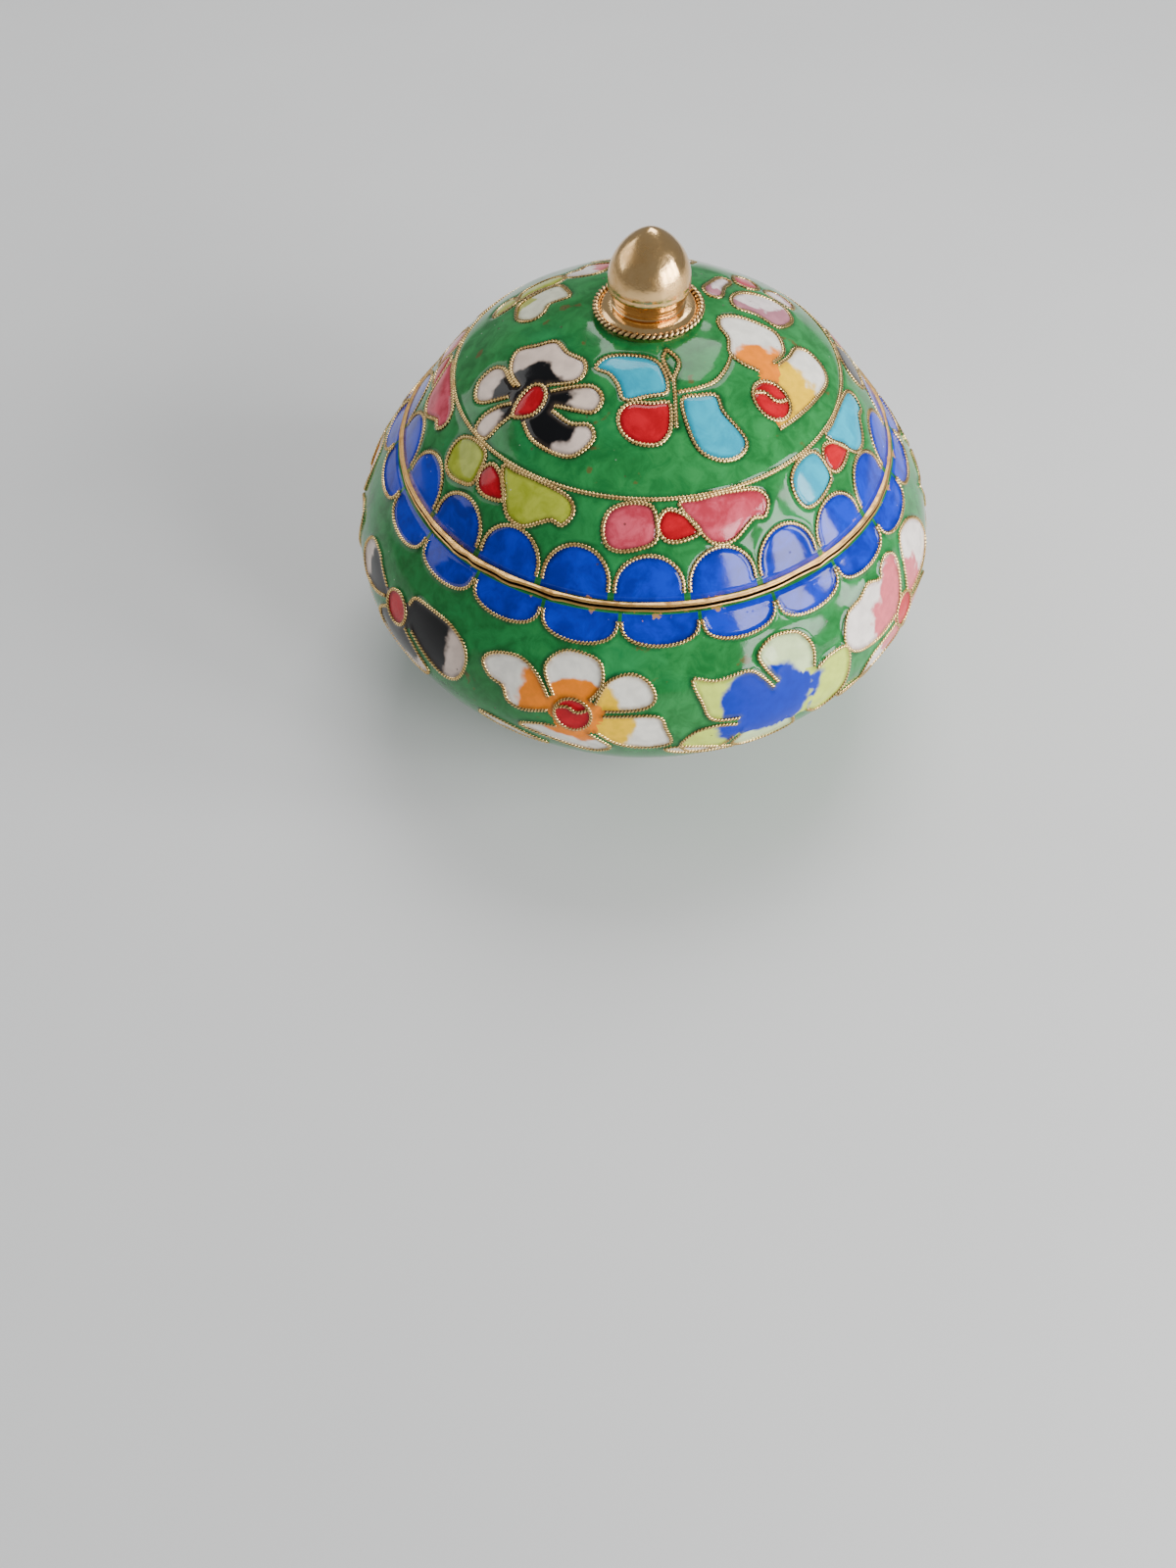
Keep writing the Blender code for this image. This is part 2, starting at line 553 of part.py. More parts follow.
def knob_profile():
    """The turned knob from its tip down: bullet top, ball, neck, flange and seat."""
    flange_top = KNOB_FLANGE_Z + KNOB_FLANGE_HEIGHT
    neck_top = flange_top + KNOB_NECK_HEIGHT
    neck_turn = acos(KNOB_NECK_RADIUS / KNOB_BALL_RADIUS)
    ball_z = neck_top + KNOB_BALL_RADIUS * sin(neck_turn)
    profile = []
    for step in range(KNOB_TOP_STEPS):
        rise = cos(pi / 2 * step / KNOB_TOP_STEPS)
        radius = KNOB_BALL_RADIUS * (1.0 - rise * rise) ** KNOB_TOP_POWER
        profile.append((radius, ball_z + (KNOB_TIP_Z - ball_z) * rise))
    for step in range(KNOB_BALL_STEPS + 1):
        turn = neck_turn * step / KNOB_BALL_STEPS
        profile.append((KNOB_BALL_RADIUS * cos(turn), ball_z - KNOB_BALL_RADIUS * sin(turn)))
    profile += [
        (KNOB_NECK_RADIUS, flange_top),
        (KNOB_FLANGE_RADIUS - KNOB_ROUNDING, flange_top),
        (KNOB_FLANGE_RADIUS, flange_top - KNOB_ROUNDING),
        (KNOB_FLANGE_RADIUS, KNOB_FLANGE_Z),
        (KNOB_SEAT_RADIUS, KNOB_FLANGE_Z - KNOB_ROUNDING),
        (KNOB_SEAT_RADIUS, LID_TOP_Z + GAP),
        (0.0, LID_TOP_Z + GAP),
    ]
    return profile


def build():
    clear_scene()
    enamel = material("Green enamel", (0.03, 0.22, 0.10), 0.12, 0.0)
    gilt = material("Gilt brass rim", (0.72, 0.52, 0.24), 0.32, 1.0)
    polished = material("Polished brass", (0.80, 0.63, 0.38), 0.18, 1.0)

    bowl = Shell(BOWL_PROFILE, UNDERSIDE_Z, BOWL_WALL, True)
    enamelled_shell("bowl", bowl, bowl_wires(bowl), enamel)
    lid = Shell(LID_PROFILE, LID_TOP_Z, LID_WALL, False)
    enamelled_shell("lid", lid, lid_wires(lid), enamel)

    top = SEAM_Z - GAP / 2
    bottom = top - RIM_HEIGHT
    rim_inner = RIM_RADIUS - RIM_WIDTH
    lip_outer = rim_inner + LIP_THICKNESS
    turned("bowl_rim", [
        (rim_inner, bottom),
        (RIM_RADIUS - RIM_ROUNDING, bottom),
        (RIM_RADIUS, bottom + RIM_ROUNDING),
        (RIM_RADIUS, top - RIM_ROUNDING),
        (RIM_RADIUS - RIM_ROUNDING, top),
        (lip_outer, top),
        (lip_outer, top + LIP_HEIGHT),
        (rim_inner, top + LIP_HEIGHT),
    ], True, RING_SEGMENTS, gilt)
    bottom = SEAM_Z + GAP / 2
    top = bottom + RIM_HEIGHT
    turned("lid_rim", [
        (lip_outer + GAP, bottom),
        (RIM_RADIUS - RIM_ROUNDING, bottom),
        (RIM_RADIUS, bottom + RIM_ROUNDING),
        (RIM_RADIUS - RIM_ROUNDING, top),
        (lip_outer + GAP, top),
    ], True, RING_SEGMENTS, gilt)
    turned("foot_ring", [
        (FOOT_OUTER_RADIUS - FOOT_WALL, 0.0),
        (FOOT_OUTER_RADIUS, 0.0),
        (FOOT_OUTER_RADIUS, RIM_ROUNDING),
        (FOOT_OUTER_RADIUS - FOOT_FLARE, FOOT_TOP_Z / 2),
        (FOOT_OUTER_RADIUS - FOOT_FLARE, FOOT_TOP_Z),
        (FOOT_OUTER_RADIUS - FOOT_WALL, FOOT_TOP_Z),
    ], True, RING_SEGMENTS, gilt)
    turned("knob_collar", [
        (COLLAR_RADIUS + COLLAR_WIRE_RADIUS * cos(t), COLLAR_Z + COLLAR_WIRE_RADIUS * sin(t))
        for t in circle_turns(COLLAR_SIDES)
    ], True, COLLAR_SEGMENTS, polished)
    turned("knob", knob_profile(), False, KNOB_SEGMENTS, polished)


build()
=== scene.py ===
"""The enamel box dressed for its picture: cells of glass enamel between twisted gilt wires.

Lengths are in millimetres up to the point where a mesh is made, and turned to metres there.
Azimuth 0 faces the front, -Y, and grows towards +X.
"""

from math import acos, atan2, ceil, cos, exp, hypot, pi, radians, sin

import bmesh
import bpy
import numpy as np
from mathutils import Matrix, Vector, kdtree
from mathutils.geometry import delaunay_2d_cdt


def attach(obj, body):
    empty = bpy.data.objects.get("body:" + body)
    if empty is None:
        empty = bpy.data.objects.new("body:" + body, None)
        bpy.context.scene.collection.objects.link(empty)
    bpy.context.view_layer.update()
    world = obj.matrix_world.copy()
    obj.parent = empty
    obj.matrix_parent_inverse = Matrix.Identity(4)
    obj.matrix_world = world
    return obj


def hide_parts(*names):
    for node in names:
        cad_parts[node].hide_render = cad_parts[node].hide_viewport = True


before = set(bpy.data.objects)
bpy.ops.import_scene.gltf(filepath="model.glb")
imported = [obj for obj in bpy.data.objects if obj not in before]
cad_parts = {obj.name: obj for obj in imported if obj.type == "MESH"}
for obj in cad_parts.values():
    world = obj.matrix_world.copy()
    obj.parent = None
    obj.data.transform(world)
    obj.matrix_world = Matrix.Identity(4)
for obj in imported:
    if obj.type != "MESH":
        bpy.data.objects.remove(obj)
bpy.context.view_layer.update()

MM = 0.001

# The box, as its source has it
SEAM_Z = 28.2
RIM_RADIUS = 24.4
RIM_WIDTH = 2.1
LIP_THICKNESS = 0.7
LIP_TOP_Z = 28.75
COLLAR_RADIUS = 4.75
COLLAR_Z = 42.0
BOWL_PROFILE = (
    (13.8, 2.7), (18.6, 3.2), (22.6, 5.2), (27.2, 10.2), (29.4, 14.4), (29.85, 17.9),
    (28.5, 22.2), (RIM_RADIUS + 1.9, 25.6), (RIM_RADIUS + 0.5, 27.3),
)
LID_PROFILE = (
    (RIM_RADIUS - 0.85, 29.1), (RIM_RADIUS - 2.8, 31.8), (RIM_RADIUS - 6.1, 35.4),
    (RIM_RADIUS - 11.2, 38.7), (COLLAR_RADIUS + 3.65, 40.6), (COLLAR_RADIUS + 0.65, 41.2),
)
BOWL_EDGE = (RIM_RADIUS + 0.15, 27.74)
LID_EDGE = (RIM_RADIUS - 0.5, 28.66)
BOWL_WALL = 1.5
LID_WALL = 1.3
POLE_RADIUS = 2.0
UNDERSIDE_Z = 2.7
LID_TOP_Z = 41.3
PROFILE_STEPS = 10
RIM_SEGMENTS = 180
SHARP_ANGLE = 50.0

# Rims, foot, collar and knob
RIM_WIRE = 0.29
SEAM_GAP = 0.1
LIP_CLEARANCE = 0.2
LID_RIM_SETBACK = 0.1
# Painted shade in the rims' crevice: its inset from the band's outside and its height
CREVICE_SHADE_INSET = 0.06
CREVICE_SHADE_HEIGHT = 0.1
BAND_ROUNDING_STEPS = 5
FOOT_OUTER_RADIUS = 14.0
FOOT_WALL = 1.5
FOOT_ROUNDING = 0.3
COLLAR_CREST = 0.38
COLLAR_WAIST = 0.22
COLLAR_TWIST = 1.1
COLLAR_SINK = 0.15
COLLAR_CORNERS = 300
KNOB_SEGMENTS = 96
KNOB_TIP_Z = 49.2
KNOB_BALL_RADIUS = 3.7
KNOB_TOP_POWER = 0.70
KNOB_TOP_STEPS = 40
KNOB_BALL_STEPS = 12
KNOB_RIDGE = 0.06
KNOB_NECK_RADIUS = 3.1
KNOB_NECK_Z = 42.6
KNOB_SKIRT_RADIUS = 4.65

# Twisted wire; its corners stand at these half turns, from one foot over the top to the other
WIRE_CREST = 0.22
WIRE_WAIST = 0.11
WIRE_LIFT = 0.05
WIRE_TWIST = 0.68
WIRE_STEP = 0.1
WIRE_SIDES = (-0.15, 0.15, 0.383, 0.617, 0.85, 1.15)
CURVE_STEPS = 6
LONG_CURVE_STEPS = 8
BACK_BEGINS_Y = 4.0
BACK_WIRE_COARSENESS = 1.5

# Enamel: corners along the wires, in bands beside them and in rows all over the wall
CELL_STEP = 0.3
WIRE_BANDS = (-0.62, -0.3, -0.15, 0.15, 0.3, 0.62)
WIRE_CLEARANCE = 0.75
ENAMEL_STEP = 0.55
FEWEST_CORNERS = 24
RIM_MARGIN = 0.3
SCALLOP_CORNERS = 16
LINING_ROWS = 26
LINING_SPARSENESS = 4
LINING_OVERLAP = 0.1
WELD_DISTANCE = 1e-4
RING_TOLERANCE = 1e-3
MENISCUS = 0.13
MENISCUS_REACH = 0.24
WAVE = 0.05
EDGE_FADE = 1.0
EDGE_OVERLAP = 0.05
FARTHEST_WIRE = 2.0
FARTHEST_RIM = 9.0

# Scallops
SCALLOPS = 22
SCALLOP_FOOT_GAP = 0.8
SCALLOP_INSET = 0.12
SCALLOP_UNEVENNESS = 0.05
SCALLOP_BEND_POINTS = 25
SCALLOP_EDGE_POINTS = 9
BOWL_SCALLOP_DEPTH = 2.2
BOWL_SCALLOP_TURN = 8.9
BOWL_SCALLOP_WAIST = 0.0
BOWL_SCALLOP_ROUNDNESS = 0.7
LID_SCALLOP_DEPTH = 3.5
LID_SCALLOP_TURN = 6.6
LID_SCALLOP_WAIST = 0.04
LID_SCALLOP_ROUNDNESS = 0.85
LID_RING_RADIUS = RIM_RADIUS - 6.1
LID_RING_POINTS = 361

# Outlines on the lid, seen from above, +Y away from the front
TEAL_LEAF_LEFT = (
    (-4.9, -7.0), (-3.9, -6.0), (-1.9, -6.0), (0.2, -6.7), (1.1, -8.2),
    (1.2, -9.9), (-0.5, -10.3), (-2.5, -10.5), (-3.0, -9.1), (-3.7, -7.9),
)
RED_BUD = (
    (-3.1, -12.3), (-2.8, -11.3), (-1.8, -10.8), (-0.2, -10.95), (1.3, -10.9),
    (1.5, -12.3), (1.2, -13.6), (0.1, -14.4), (-1.6, -14.2), (-2.7, -13.4),
)
TEAL_LEAF_RIGHT = (
    (2.5, -10.6), (3.9, -10.1), (5.5, -9.9), (6.1, -11.3), (8.0, -13.2),
    (7.4, -14.6), (5.7, -15.2), (3.9, -14.7), (2.9, -12.9),
)
STEM = ((1.3, -5.4), (2.4, -6.9), (1.9, -8.6), (1.9, -10.4), (1.9, -13.0))
TENDRIL = ((2.2, -9.9), (3.9, -9.4), (5.5, -8.5), (6.6, -6.9), (7.1, -5.5))
STEM_LEAF = ((1.3, -5.6), (1.0, -6.5), (1.3, -7.7), (1.75, -8.8))
BLACK_FLOWER_CENTRE = (-10.8, -8.6)
BLACK_FLOWER_BUD = (
    (1.45, 0.2), (1.15, 1.1), (0.3, 1.5), (-0.7, 1.0), (-1.4, 0.1), (-1.55, -0.7),
    (-0.8, -1.15), (0.3, -1.3), (1.15, -0.75),
)
BLACK_FLOWER = (
    ((-1.0, 2.0), (-1.8, 4.2), (-1.2, 6.2), (0.6, 6.0), (2.4, 5.7), (3.4, 4.0),
     (4.9, 2.5), (4.8, 1.1), (3.7, 0.6), (1.6, 1.0)),
    ((1.9, 0.3), (4.2, 0.1), (5.7, -0.3), (6.4, -1.6), (5.6, -2.6), (4.2, -2.2),
     (2.2, -1.2)),
    ((2.0, -1.6), (3.5, -3.1), (5.1, -3.6), (5.6, -4.6), (4.9, -5.4), (3.5, -5.8),
     (1.8, -5.0), (0.1, -3.4), (-0.6, -1.7)),
    ((-1.7, -0.6), (-2.9, -1.0), (-4.1, -1.5), (-5.1, -0.3), (-4.4, 0.7), (-2.9, 0.9),
     (-1.7, 0.6)),
    ((-2.0, 1.4), (-4.3, 2.1), (-5.1, 3.2), (-4.8, 4.8), (-3.5, 5.5), (-2.4, 4.8),
     (-1.9, 3.3), (-1.4, 2.2)),
)
BLACK_PETALS = ("white_black", "white_black", "mostly_black", "white_black", "white_black")
HALF_FLOWER = (
    ((11.0, -5.0), (12.2, -3.1), (11.9, -1.0), (10.6, -0.3), (8.2, 0.0), (6.5, -0.6),
     (6.3, -1.9), (7.0, -3.4), (7.0, -5.1), (8.0, -6.0), (9.6, -6.4)),
    ((11.5, -5.0), (12.7, -3.4), (13.5, -1.8), (14.8, -1.3), (16.2, -2.5), (16.3, -4.4),
     (14.8, -7.2), (12.9, -9.7), (11.2, -11.4)),
)
HALF_FLOWER_BUD = (10.6, -9.0)
BUD_RADIUS = 1.75
BUD_LINE = ((-1.6, 0.2), (-0.6, 0.5), (0.2, 0.1), (0.9, 0.2), (1.6, 0.7))
HALF_FLOWER_HEART = (
    (9.6, -6.4), (11.0, -5.0), (11.5, -5.0), (12.4, -8.0), (11.2, -11.4), (10.6, -10.6),
    (9.6, -8.0),
)
HALF_FLOWER_REACH = 9.3
RIGHT_FLOWER = (
    ((6.0, 5.4), (5.3, 4.1), (5.8, 2.8), (6.9, 2.9), (7.4, 5.0), (8.2, 6.8), (7.2, 7.4)),
    ((7.9, 3.2), (8.1, 1.5), (10.0, 1.2), (11.8, 0.4), (13.0, 1.3), (13.8, 3.1),
     (13.2, 5.0), (11.3, 5.6), (9.2, 5.0)),
    ((11.6, 7.4), (12.2, 6.2), (14.0, 5.7), (14.5, 7.4), (13.0, 8.9)),
    ((8.7, 7.2), (8.8, 9.2), (10.4, 9.6), (11.0, 7.4), (9.8, 6.5)),
)
LEFT_FLOWER = (
    ((-11.9, 5.6), (-12.2, 4.1), (-12.0, 2.4), (-10.8, 1.4), (-9.6, 1.9), (-9.0, 3.2),
     (-7.2, 3.5), (-7.3, 5.0), (-8.2, 6.8), (-10.4, 6.5)),
    ((-11.9, 6.6), (-11.9, 8.5), (-10.7, 9.7), (-8.8, 10.0), (-7.5, 8.8), (-8.4, 7.3),
     (-10.4, 7.1)),
    ((-14.3, 5.5), (-14.3, 7.0), (-13.2, 8.3), (-12.3, 7.9), (-12.4, 6.2)),
    ((-16.1, -1.2), (-15.5, -2.6), (-14.6, -2.8), (-13.8, -1.7), (-13.6, -0.1),
     (-12.9, 1.4), (-12.8, 3.8), (-13.6, 4.9), (-15.0, 5.0), (-16.0, 2.5)),
)
RIGHT_FLOWER_HEART = (9.5, 6.6)
RIGHT_FLOWER_PETALS = ("mauve_white", "mauve_white", "mauve_white", "pink")
LEFT_FLOWER_HEART = (-13.0, 6.5)
LEFT_FLOWER_PETALS = ("pale_lime", "lime", "pale_lime")
SIDE_FLOWER_REACH = 6.5
BACK_FLOWER_CENTRE = (-1.2, 10.6)
BACK_FLOWER_SCALE = 0.7

# One leaf pair of the lid's band: degrees from its bud, distance in from the rim
LEAF_PAIRS = 7
LEAF_PAIR_TURN = 5.5
LEAF_PAIR_COLOURS = ("pink", "turquoise", "black", "lime", "turquoise", "pink", "lime")
PAIR_LEFT_LEAF = (
    (-18.7, 4.1), (-17.7, 5.2), (-13.2, 5.8), (-7.0, 5.7), (-5.4, 4.7), (-6.0, 3.6),
    (-12.3, 3.1), (-16.7, 3.2),
)
PAIR_BUD = ((-5.2, 4.5), (-3.0, 5.4), (1.5, 5.1), (5.2, 4.0), (0.5, 3.6), (-3.3, 3.7))
PAIR_RIGHT_LEAF = (
    (0.6, 5.7), (6.2, 5.9), (16.3, 5.9), (22.7, 5.5), (24.6, 4.7), (22.5, 3.9), (19.5, 4.0),
    (17.0, 3.7), (13.5, 3.2), (10.0, 3.1), (6.5, 3.6),
)

# Flowers of the bowl about their centres, seen from outside
OPEN_FLOWER = (
    ((-1.9, 1.4), (-2.9, 4.0), (-1.5, 5.8), (0.4, 6.0), (2.1, 5.3), (2.5, 3.2), (1.5, 1.5)),
    ((-2.4, 1.1), (-3.7, 3.2), (-5.5, 4.2), (-8.0, 3.7), (-9.2, 2.5), (-8.4, 1.2),
     (-7.0, 0.7), (-6.4, -0.7), (-4.8, -1.1), (-2.4, -0.4)),
    ((2.0, 1.2), (3.0, 3.6), (4.9, 4.5), (6.6, 3.8), (7.4, 2.2), (6.4, 1.1), (3.0, 0.6)),
    ((2.8, 0.0), (7.6, 0.3), (8.7, -1.2), (9.2, -3.3), (6.8, -4.1), (4.4, -3.6), (2.3, -2.0)),
    ((1.6, -2.3), (3.5, -4.2), (2.6, -5.7), (0.9, -5.8), (-2.1, -4.6), (-5.3, -3.5),
     (-3.3, -2.4), (-1.5, -2.1)),
)
OPEN_FLOWER_BUD = 1.75
BUD_SINK = -0.3
LEANING_FLOWER = (
    ((-3.3, -0.9), (-5.9, -0.4), (-6.7, 1.5), (-7.3, 4.0), (-5.2, 3.6), (-2.2, 3.9),
     (-0.9, 3.0), (0.2, 1.5)),
    ((0.7, 1.9), (-0.6, 3.9), (-0.9, 5.2), (0.7, 6.3), (3.2, 5.9), (4.6, 4.0), (4.6, 1.9)),
    ((-3.5, -1.6), (-5.7, -1.3), (-7.7, -1.9), (-8.7, -3.7), (-7.4, -5.7), (-5.0, -5.6),
     (-3.6, -3.6)),
    ((4.9, 1.5), (6.5, 2.2), (8.6, 2.0), (9.0, 0.0), (8.3, -3.0), (6.0, -4.8), (4.2, -3.4)),
    ((2.6, -3.6), (3.0, -5.6), (0.8, -6.9), (-2.0, -6.8), (-3.4, -5.2), (-2.9, -3.4)),
)
DARK_FLOWER = (
    ((1.9, 1.4), (2.4, 2.5), (4.3, 2.8), (7.3, 2.7), (9.6, 1.6), (10.4, -0.2), (9.8, -2.3),
     (8.1, -3.1), (5.8, -2.4), (3.0, -1.0)),
    ((-2.2, 0.5), (-3.8, 1.4), (-5.3, 2.2), (-7.8, 2.0), (-9.4, -0.4), (-8.0, -2.2),
     (-5.0, -1.9), (-2.3, -0.7)),
    ((-1.7, -1.4), (-3.4, -3.2), (-2.6, -5.4), (0.6, -6.4), (4.2, -5.8), (5.6, -4.2),
     (3.8, -2.6), (1.9, -1.4)),
)
SPREAD_FLOWER = (
    ((-0.8, 1.2), (0.0, 3.5), (0.5, 5.7), (-0.6, 6.6), (-2.0, 6.3), (-2.8, 5.4), (-4.5, 6.0),
     (-6.2, 5.4), (-8.4, 4.8), (-9.6, 2.5), (-8.4, 0.6), (-5.0, 0.0), (-2.0, 0.4)),
    ((1.0, 1.1), (1.4, 4.0), (2.4, 6.2), (4.0, 6.5), (6.0, 5.8), (7.9, 4.0), (8.8, 1.5),
     (7.0, 0.3), (2.0, 0.2)),
    ((2.0, -0.5), (6.5, -1.2), (7.5, -4.0), (4.5, -6.0), (1.5, -4.5), (0.6, -1.9)),
    ((-0.7, -1.8), (-1.5, -4.8), (-4.5, -6.0), (-7.0, -4.0), (-6.3, -1.5), (-2.0, -0.6)),
)
SLIVER_LEAF = ((-3.6, 0.9), (-2.0, 1.3), (0.8, 0.4), (3.4, -1.2), (0.4, -1.1), (-2.4, -0.2))
SLIVER_DROP = 14.9
SLIVER_OFFSET = -12.5

# Azimuth of each flower on the bowl, its drop below the rim, its petals and their enamels
ORANGE_PETALS = ("white_orange", "white_orange", "white_yellow", "white_yellow", "white_orange")
LIME_PETALS = ("lime_cobalt", "pale_cobalt", "lime_cobalt", "lime_cobalt", "pale_cobalt")
BOWL_FLOWERS = (
    (-57.2, 8.0, DARK_FLOWER, ("mostly_black",)),
    (-14.9, 9.3, OPEN_FLOWER, ORANGE_PETALS),
    (21.5, 9.5, LEANING_FLOWER, LIME_PETALS),
    (57.5, 9.5, SPREAD_FLOWER, ("white_pink",)),
    (99.0, 9.5, LEANING_FLOWER, ("white_orange",)),
    (139.0, 9.5, OPEN_FLOWER, ("white_black",)),
    (179.0, 9.5, LEANING_FLOWER, LIME_PETALS),
    (220.0, 9.5, OPEN_FLOWER, ("white_pink",)),
    (260.0, 9.5, LEANING_FLOWER, ("white_orange",)),
)

# Unevenness of the rims: depth, waves round the rim and shift; azimuths of solder lumps
RIM_WAVERS = ((0.05, 7, 0.6), (0.03, 19, 0.0), (0.02, 43, 0.0))
RIM_SWAY = (0.04, 11, 1.0)
SOLDER_LUMPS = (-47.0, -41.5, -33.0, -22.5, 38.0, 151.0)
SOLDER_HEIGHT = 0.16
SOLDER_WIDTH = 0.03

# View of the photograph: the lens's place and tilt, worked out from the rim and the ring
CAMERA_PLACE = (-6.34, -96.1, 76.0 + SEAM_Z)
CAMERA_TILT = 55.0
CAMERA_ROLL = -1.18
CAMERA_LENS = 27.05
CAMERA_SENSOR = 36.0
CAMERA_CLIP = 0.005

# Lamps as name, place, size and power; all of them point at the middle of the box
LAMPS_AIM = (0.0, 0.0, 0.02)
LAMPS = (
    ("window left pane", (235.0, -270.0, 145.0), (75.0, 190.0), 0.9),
    ("window middle pane", (315.0, -180.0, 145.0), (75.0, 190.0), 0.9),
    ("window right pane", (360.0, -75.0, 145.0), (75.0, 190.0), 0.9),
    ("high softbox", (60.0, 280.0, 420.0), (300.0, 240.0), 1.5),
    ("left wall", (-330.0, 120.0, 200.0), (300.0, 200.0), 0.4),
)
ROOM_COLOUR = (0.90, 0.93, 0.96, 1.0)
ROOM_STRENGTH = 0.32
BOARD_HALF = 2.0


class Shades:
    """A material's node tree. Sockets are handed round as Tone."""

    def __init__(self, name):
        self.material = bpy.data.materials.new(name)
        self.material.use_nodes = True
        self.tree = self.material.node_tree
        self.shader = self.tree.nodes["Principled BSDF"]

    def add(self, kind, settings=None, inputs=None):
        node = self.tree.nodes.new(kind)
        for key, value in (settings or {}).items():
            setattr(node, key, value)
        for key, value in (inputs or {}).items():
            self.plug(node.inputs[key], value)
        return node

    def plug(self, socket, value):
        if isinstance(value, Tone):
            self.tree.links.new(value.socket, socket)
        else:
            socket.default_value = value

    def tone(self, kind, output, settings=None, inputs=None):
        return Tone(self, self.add(kind, settings, inputs).outputs[output])

    def place(self):
        """Place on the box in millimetres."""
        here = self.tone("ShaderNodeTexCoord", "Object")
        return self.tone("ShaderNodeVectorMath", "Vector", {"operation": "SCALE"},
                         {0: here, "Scale": 1.0 / MM})

    def speckle(self, size, detail=3.0, roughness=0.5, distortion=0.0):
        """Noise with grains of about this size in millimetres."""
        return self.tone("ShaderNodeTexNoise", "Fac", None, {
            "Vector": self.place(), "Scale": 1.0 / size, "Detail": detail,
            "Roughness": roughness, "Distortion": distortion,
        })

    def spots(self, size):
        """Distance to scattered points about this far apart, in shares of it."""
        return self.tone("ShaderNodeTexVoronoi", "Distance", {"feature": "F1"}, {
            "Vector": self.place(), "Scale": 1.0 / size, "Randomness": 1.0,
        })

    def marked(self, name):
        """A number that the mesh carries."""
        return self.tone("ShaderNodeAttribute", "Fac", {"attribute_name": name})

    def mix(self, share, first, second):
        node = self.add("ShaderNodeMix", {"data_type": "RGBA"})
        self.plug(node.inputs[0], share)
        self.plug(node.inputs[6], first if isinstance(first, Tone) else (*first, 1.0))
        self.plug(node.inputs[7], second if isinstance(second, Tone) else (*second, 1.0))
        return Tone(self, node.outputs[2])

    def finish(self, **inputs):
        for key, value in inputs.items():
            self.plug(self.shader.inputs[key.replace("_", " ")], value)
        return self.material

    def bump(self, height, distance, strength=1.0):
        return self.tone("ShaderNodeBump", "Normal", None, {
            "Height": height, "Distance": distance * MM, "Strength": strength,
        })


class Tone:
    """One socket, on which sums can be written."""

    def __init__(self, shades, socket):
        self.shades = shades
        self.socket = socket

    def work(self, operation, *values):
        node = self.shades.add("ShaderNodeMath", {"operation": operation})
        for socket, value in zip(node.inputs, values):
            self.shades.plug(socket, value)
        return Tone(self.shades, node.outputs[0])

    def __add__(self, other):
        return self.work("ADD", self, other)

    def __radd__(self, other):
        return self.work("ADD", other, self)

    def __sub__(self, other):
        return self.work("SUBTRACT", self, other)

    def __rsub__(self, other):
        return self.work("SUBTRACT", other, self)

    def __mul__(self, other):
        return self.work("MULTIPLY", self, other)

    def __rmul__(self, other):
        return self.work("MULTIPLY", other, self)

    def rises(self, low, high):
        """0 below low, 1 above high, smooth between."""
        return self.shades.tone("ShaderNodeMapRange", "Result",
                                {"interpolation_type": "SMOOTHSTEP"},
                                {"Value": self, "From Min": low, "From Max": high})

    def falls(self, low, high):
        """1 below low, 0 above high, smooth between."""
        return 1.0 - self.rises(low, high)


def glaze(shades, colour, edge_dark):
    """What every enamel shares: deeper colour by the wires, pits, gilt smears and gloss."""
    uneven = shades.speckle(0.9, 4.0).rises(0.3, 0.7)
    by_wire = shades.marked("wire_distance").falls(0.18, 0.62)
    colour = shades.mix(by_wire * (0.2 + 0.5 * uneven), colour, edge_dark)
    pits = shades.spots(2.6).falls(0.035, 0.06)
    colour = shades.mix(pits * 0.7, colour, (0.05, 0.035, 0.02))
    bubbles = shades.spots(1.1).falls(0.05, 0.075)
    clustered = shades.speckle(5.0).rises(0.56, 0.62)
    colour = shades.mix(bubbles * clustered * 0.45, colour, (0.85, 0.88, 0.82))
    smear = shades.speckle(1.6, 4.0, 0.6) - 0.16 * shades.marked("rim_distance")
    smear = smear.rises(0.60, 0.63)
    colour = shades.mix(smear * 0.85, colour, (0.50, 0.26, 0.06))
    height = 2.0 * shades.speckle(3.4, 1.0) + 0.2 * shades.speckle(0.8, 2.0) - 0.6 * pits
    return shades.finish(
        Base_Color=colour,
        Roughness=0.05 + 0.08 * shades.speckle(1.6, 3.0) + 0.25 * pits + 0.2 * smear,
        Specular_IOR_Level=0.25,
        Normal=shades.bump(height, 0.035, 0.6),
    )


def plain_enamel(name, deep, bright, edge_dark, grain=1.8):
    """One colour of glass, cloudy between a deep and a bright tone."""
    shades = Shades(name)
    cloud = shades.speckle(grain, 6.0, 0.62, 0.4).rises(0.34, 0.66)
    return glaze(shades, shades.mix(cloud, deep, bright), edge_dark)


def green_enamel():
    """The ground: emerald glass with darker and milky clouds and a few coppery stains."""
    shades = Shades("green enamel")
    cloud = shades.speckle(1.9, 7.0, 0.62, 0.5).rises(0.30, 0.70)
    colour = shades.mix(cloud, (0.012, 0.135, 0.028), (0.026, 0.245, 0.060))
    milky = shades.speckle(6.5, 3.0).rises(0.52, 0.72)
    colour = shades.mix(milky * 0.3, colour, (0.020, 0.32, 0.10))
    stain = shades.speckle(2.1, 5.0).rises(0.67, 0.72)
    colour = shades.mix(stain * 0.7, colour, (0.13, 0.07, 0.02))
    return glaze(shades, colour, (0.003, 0.035, 0.010))


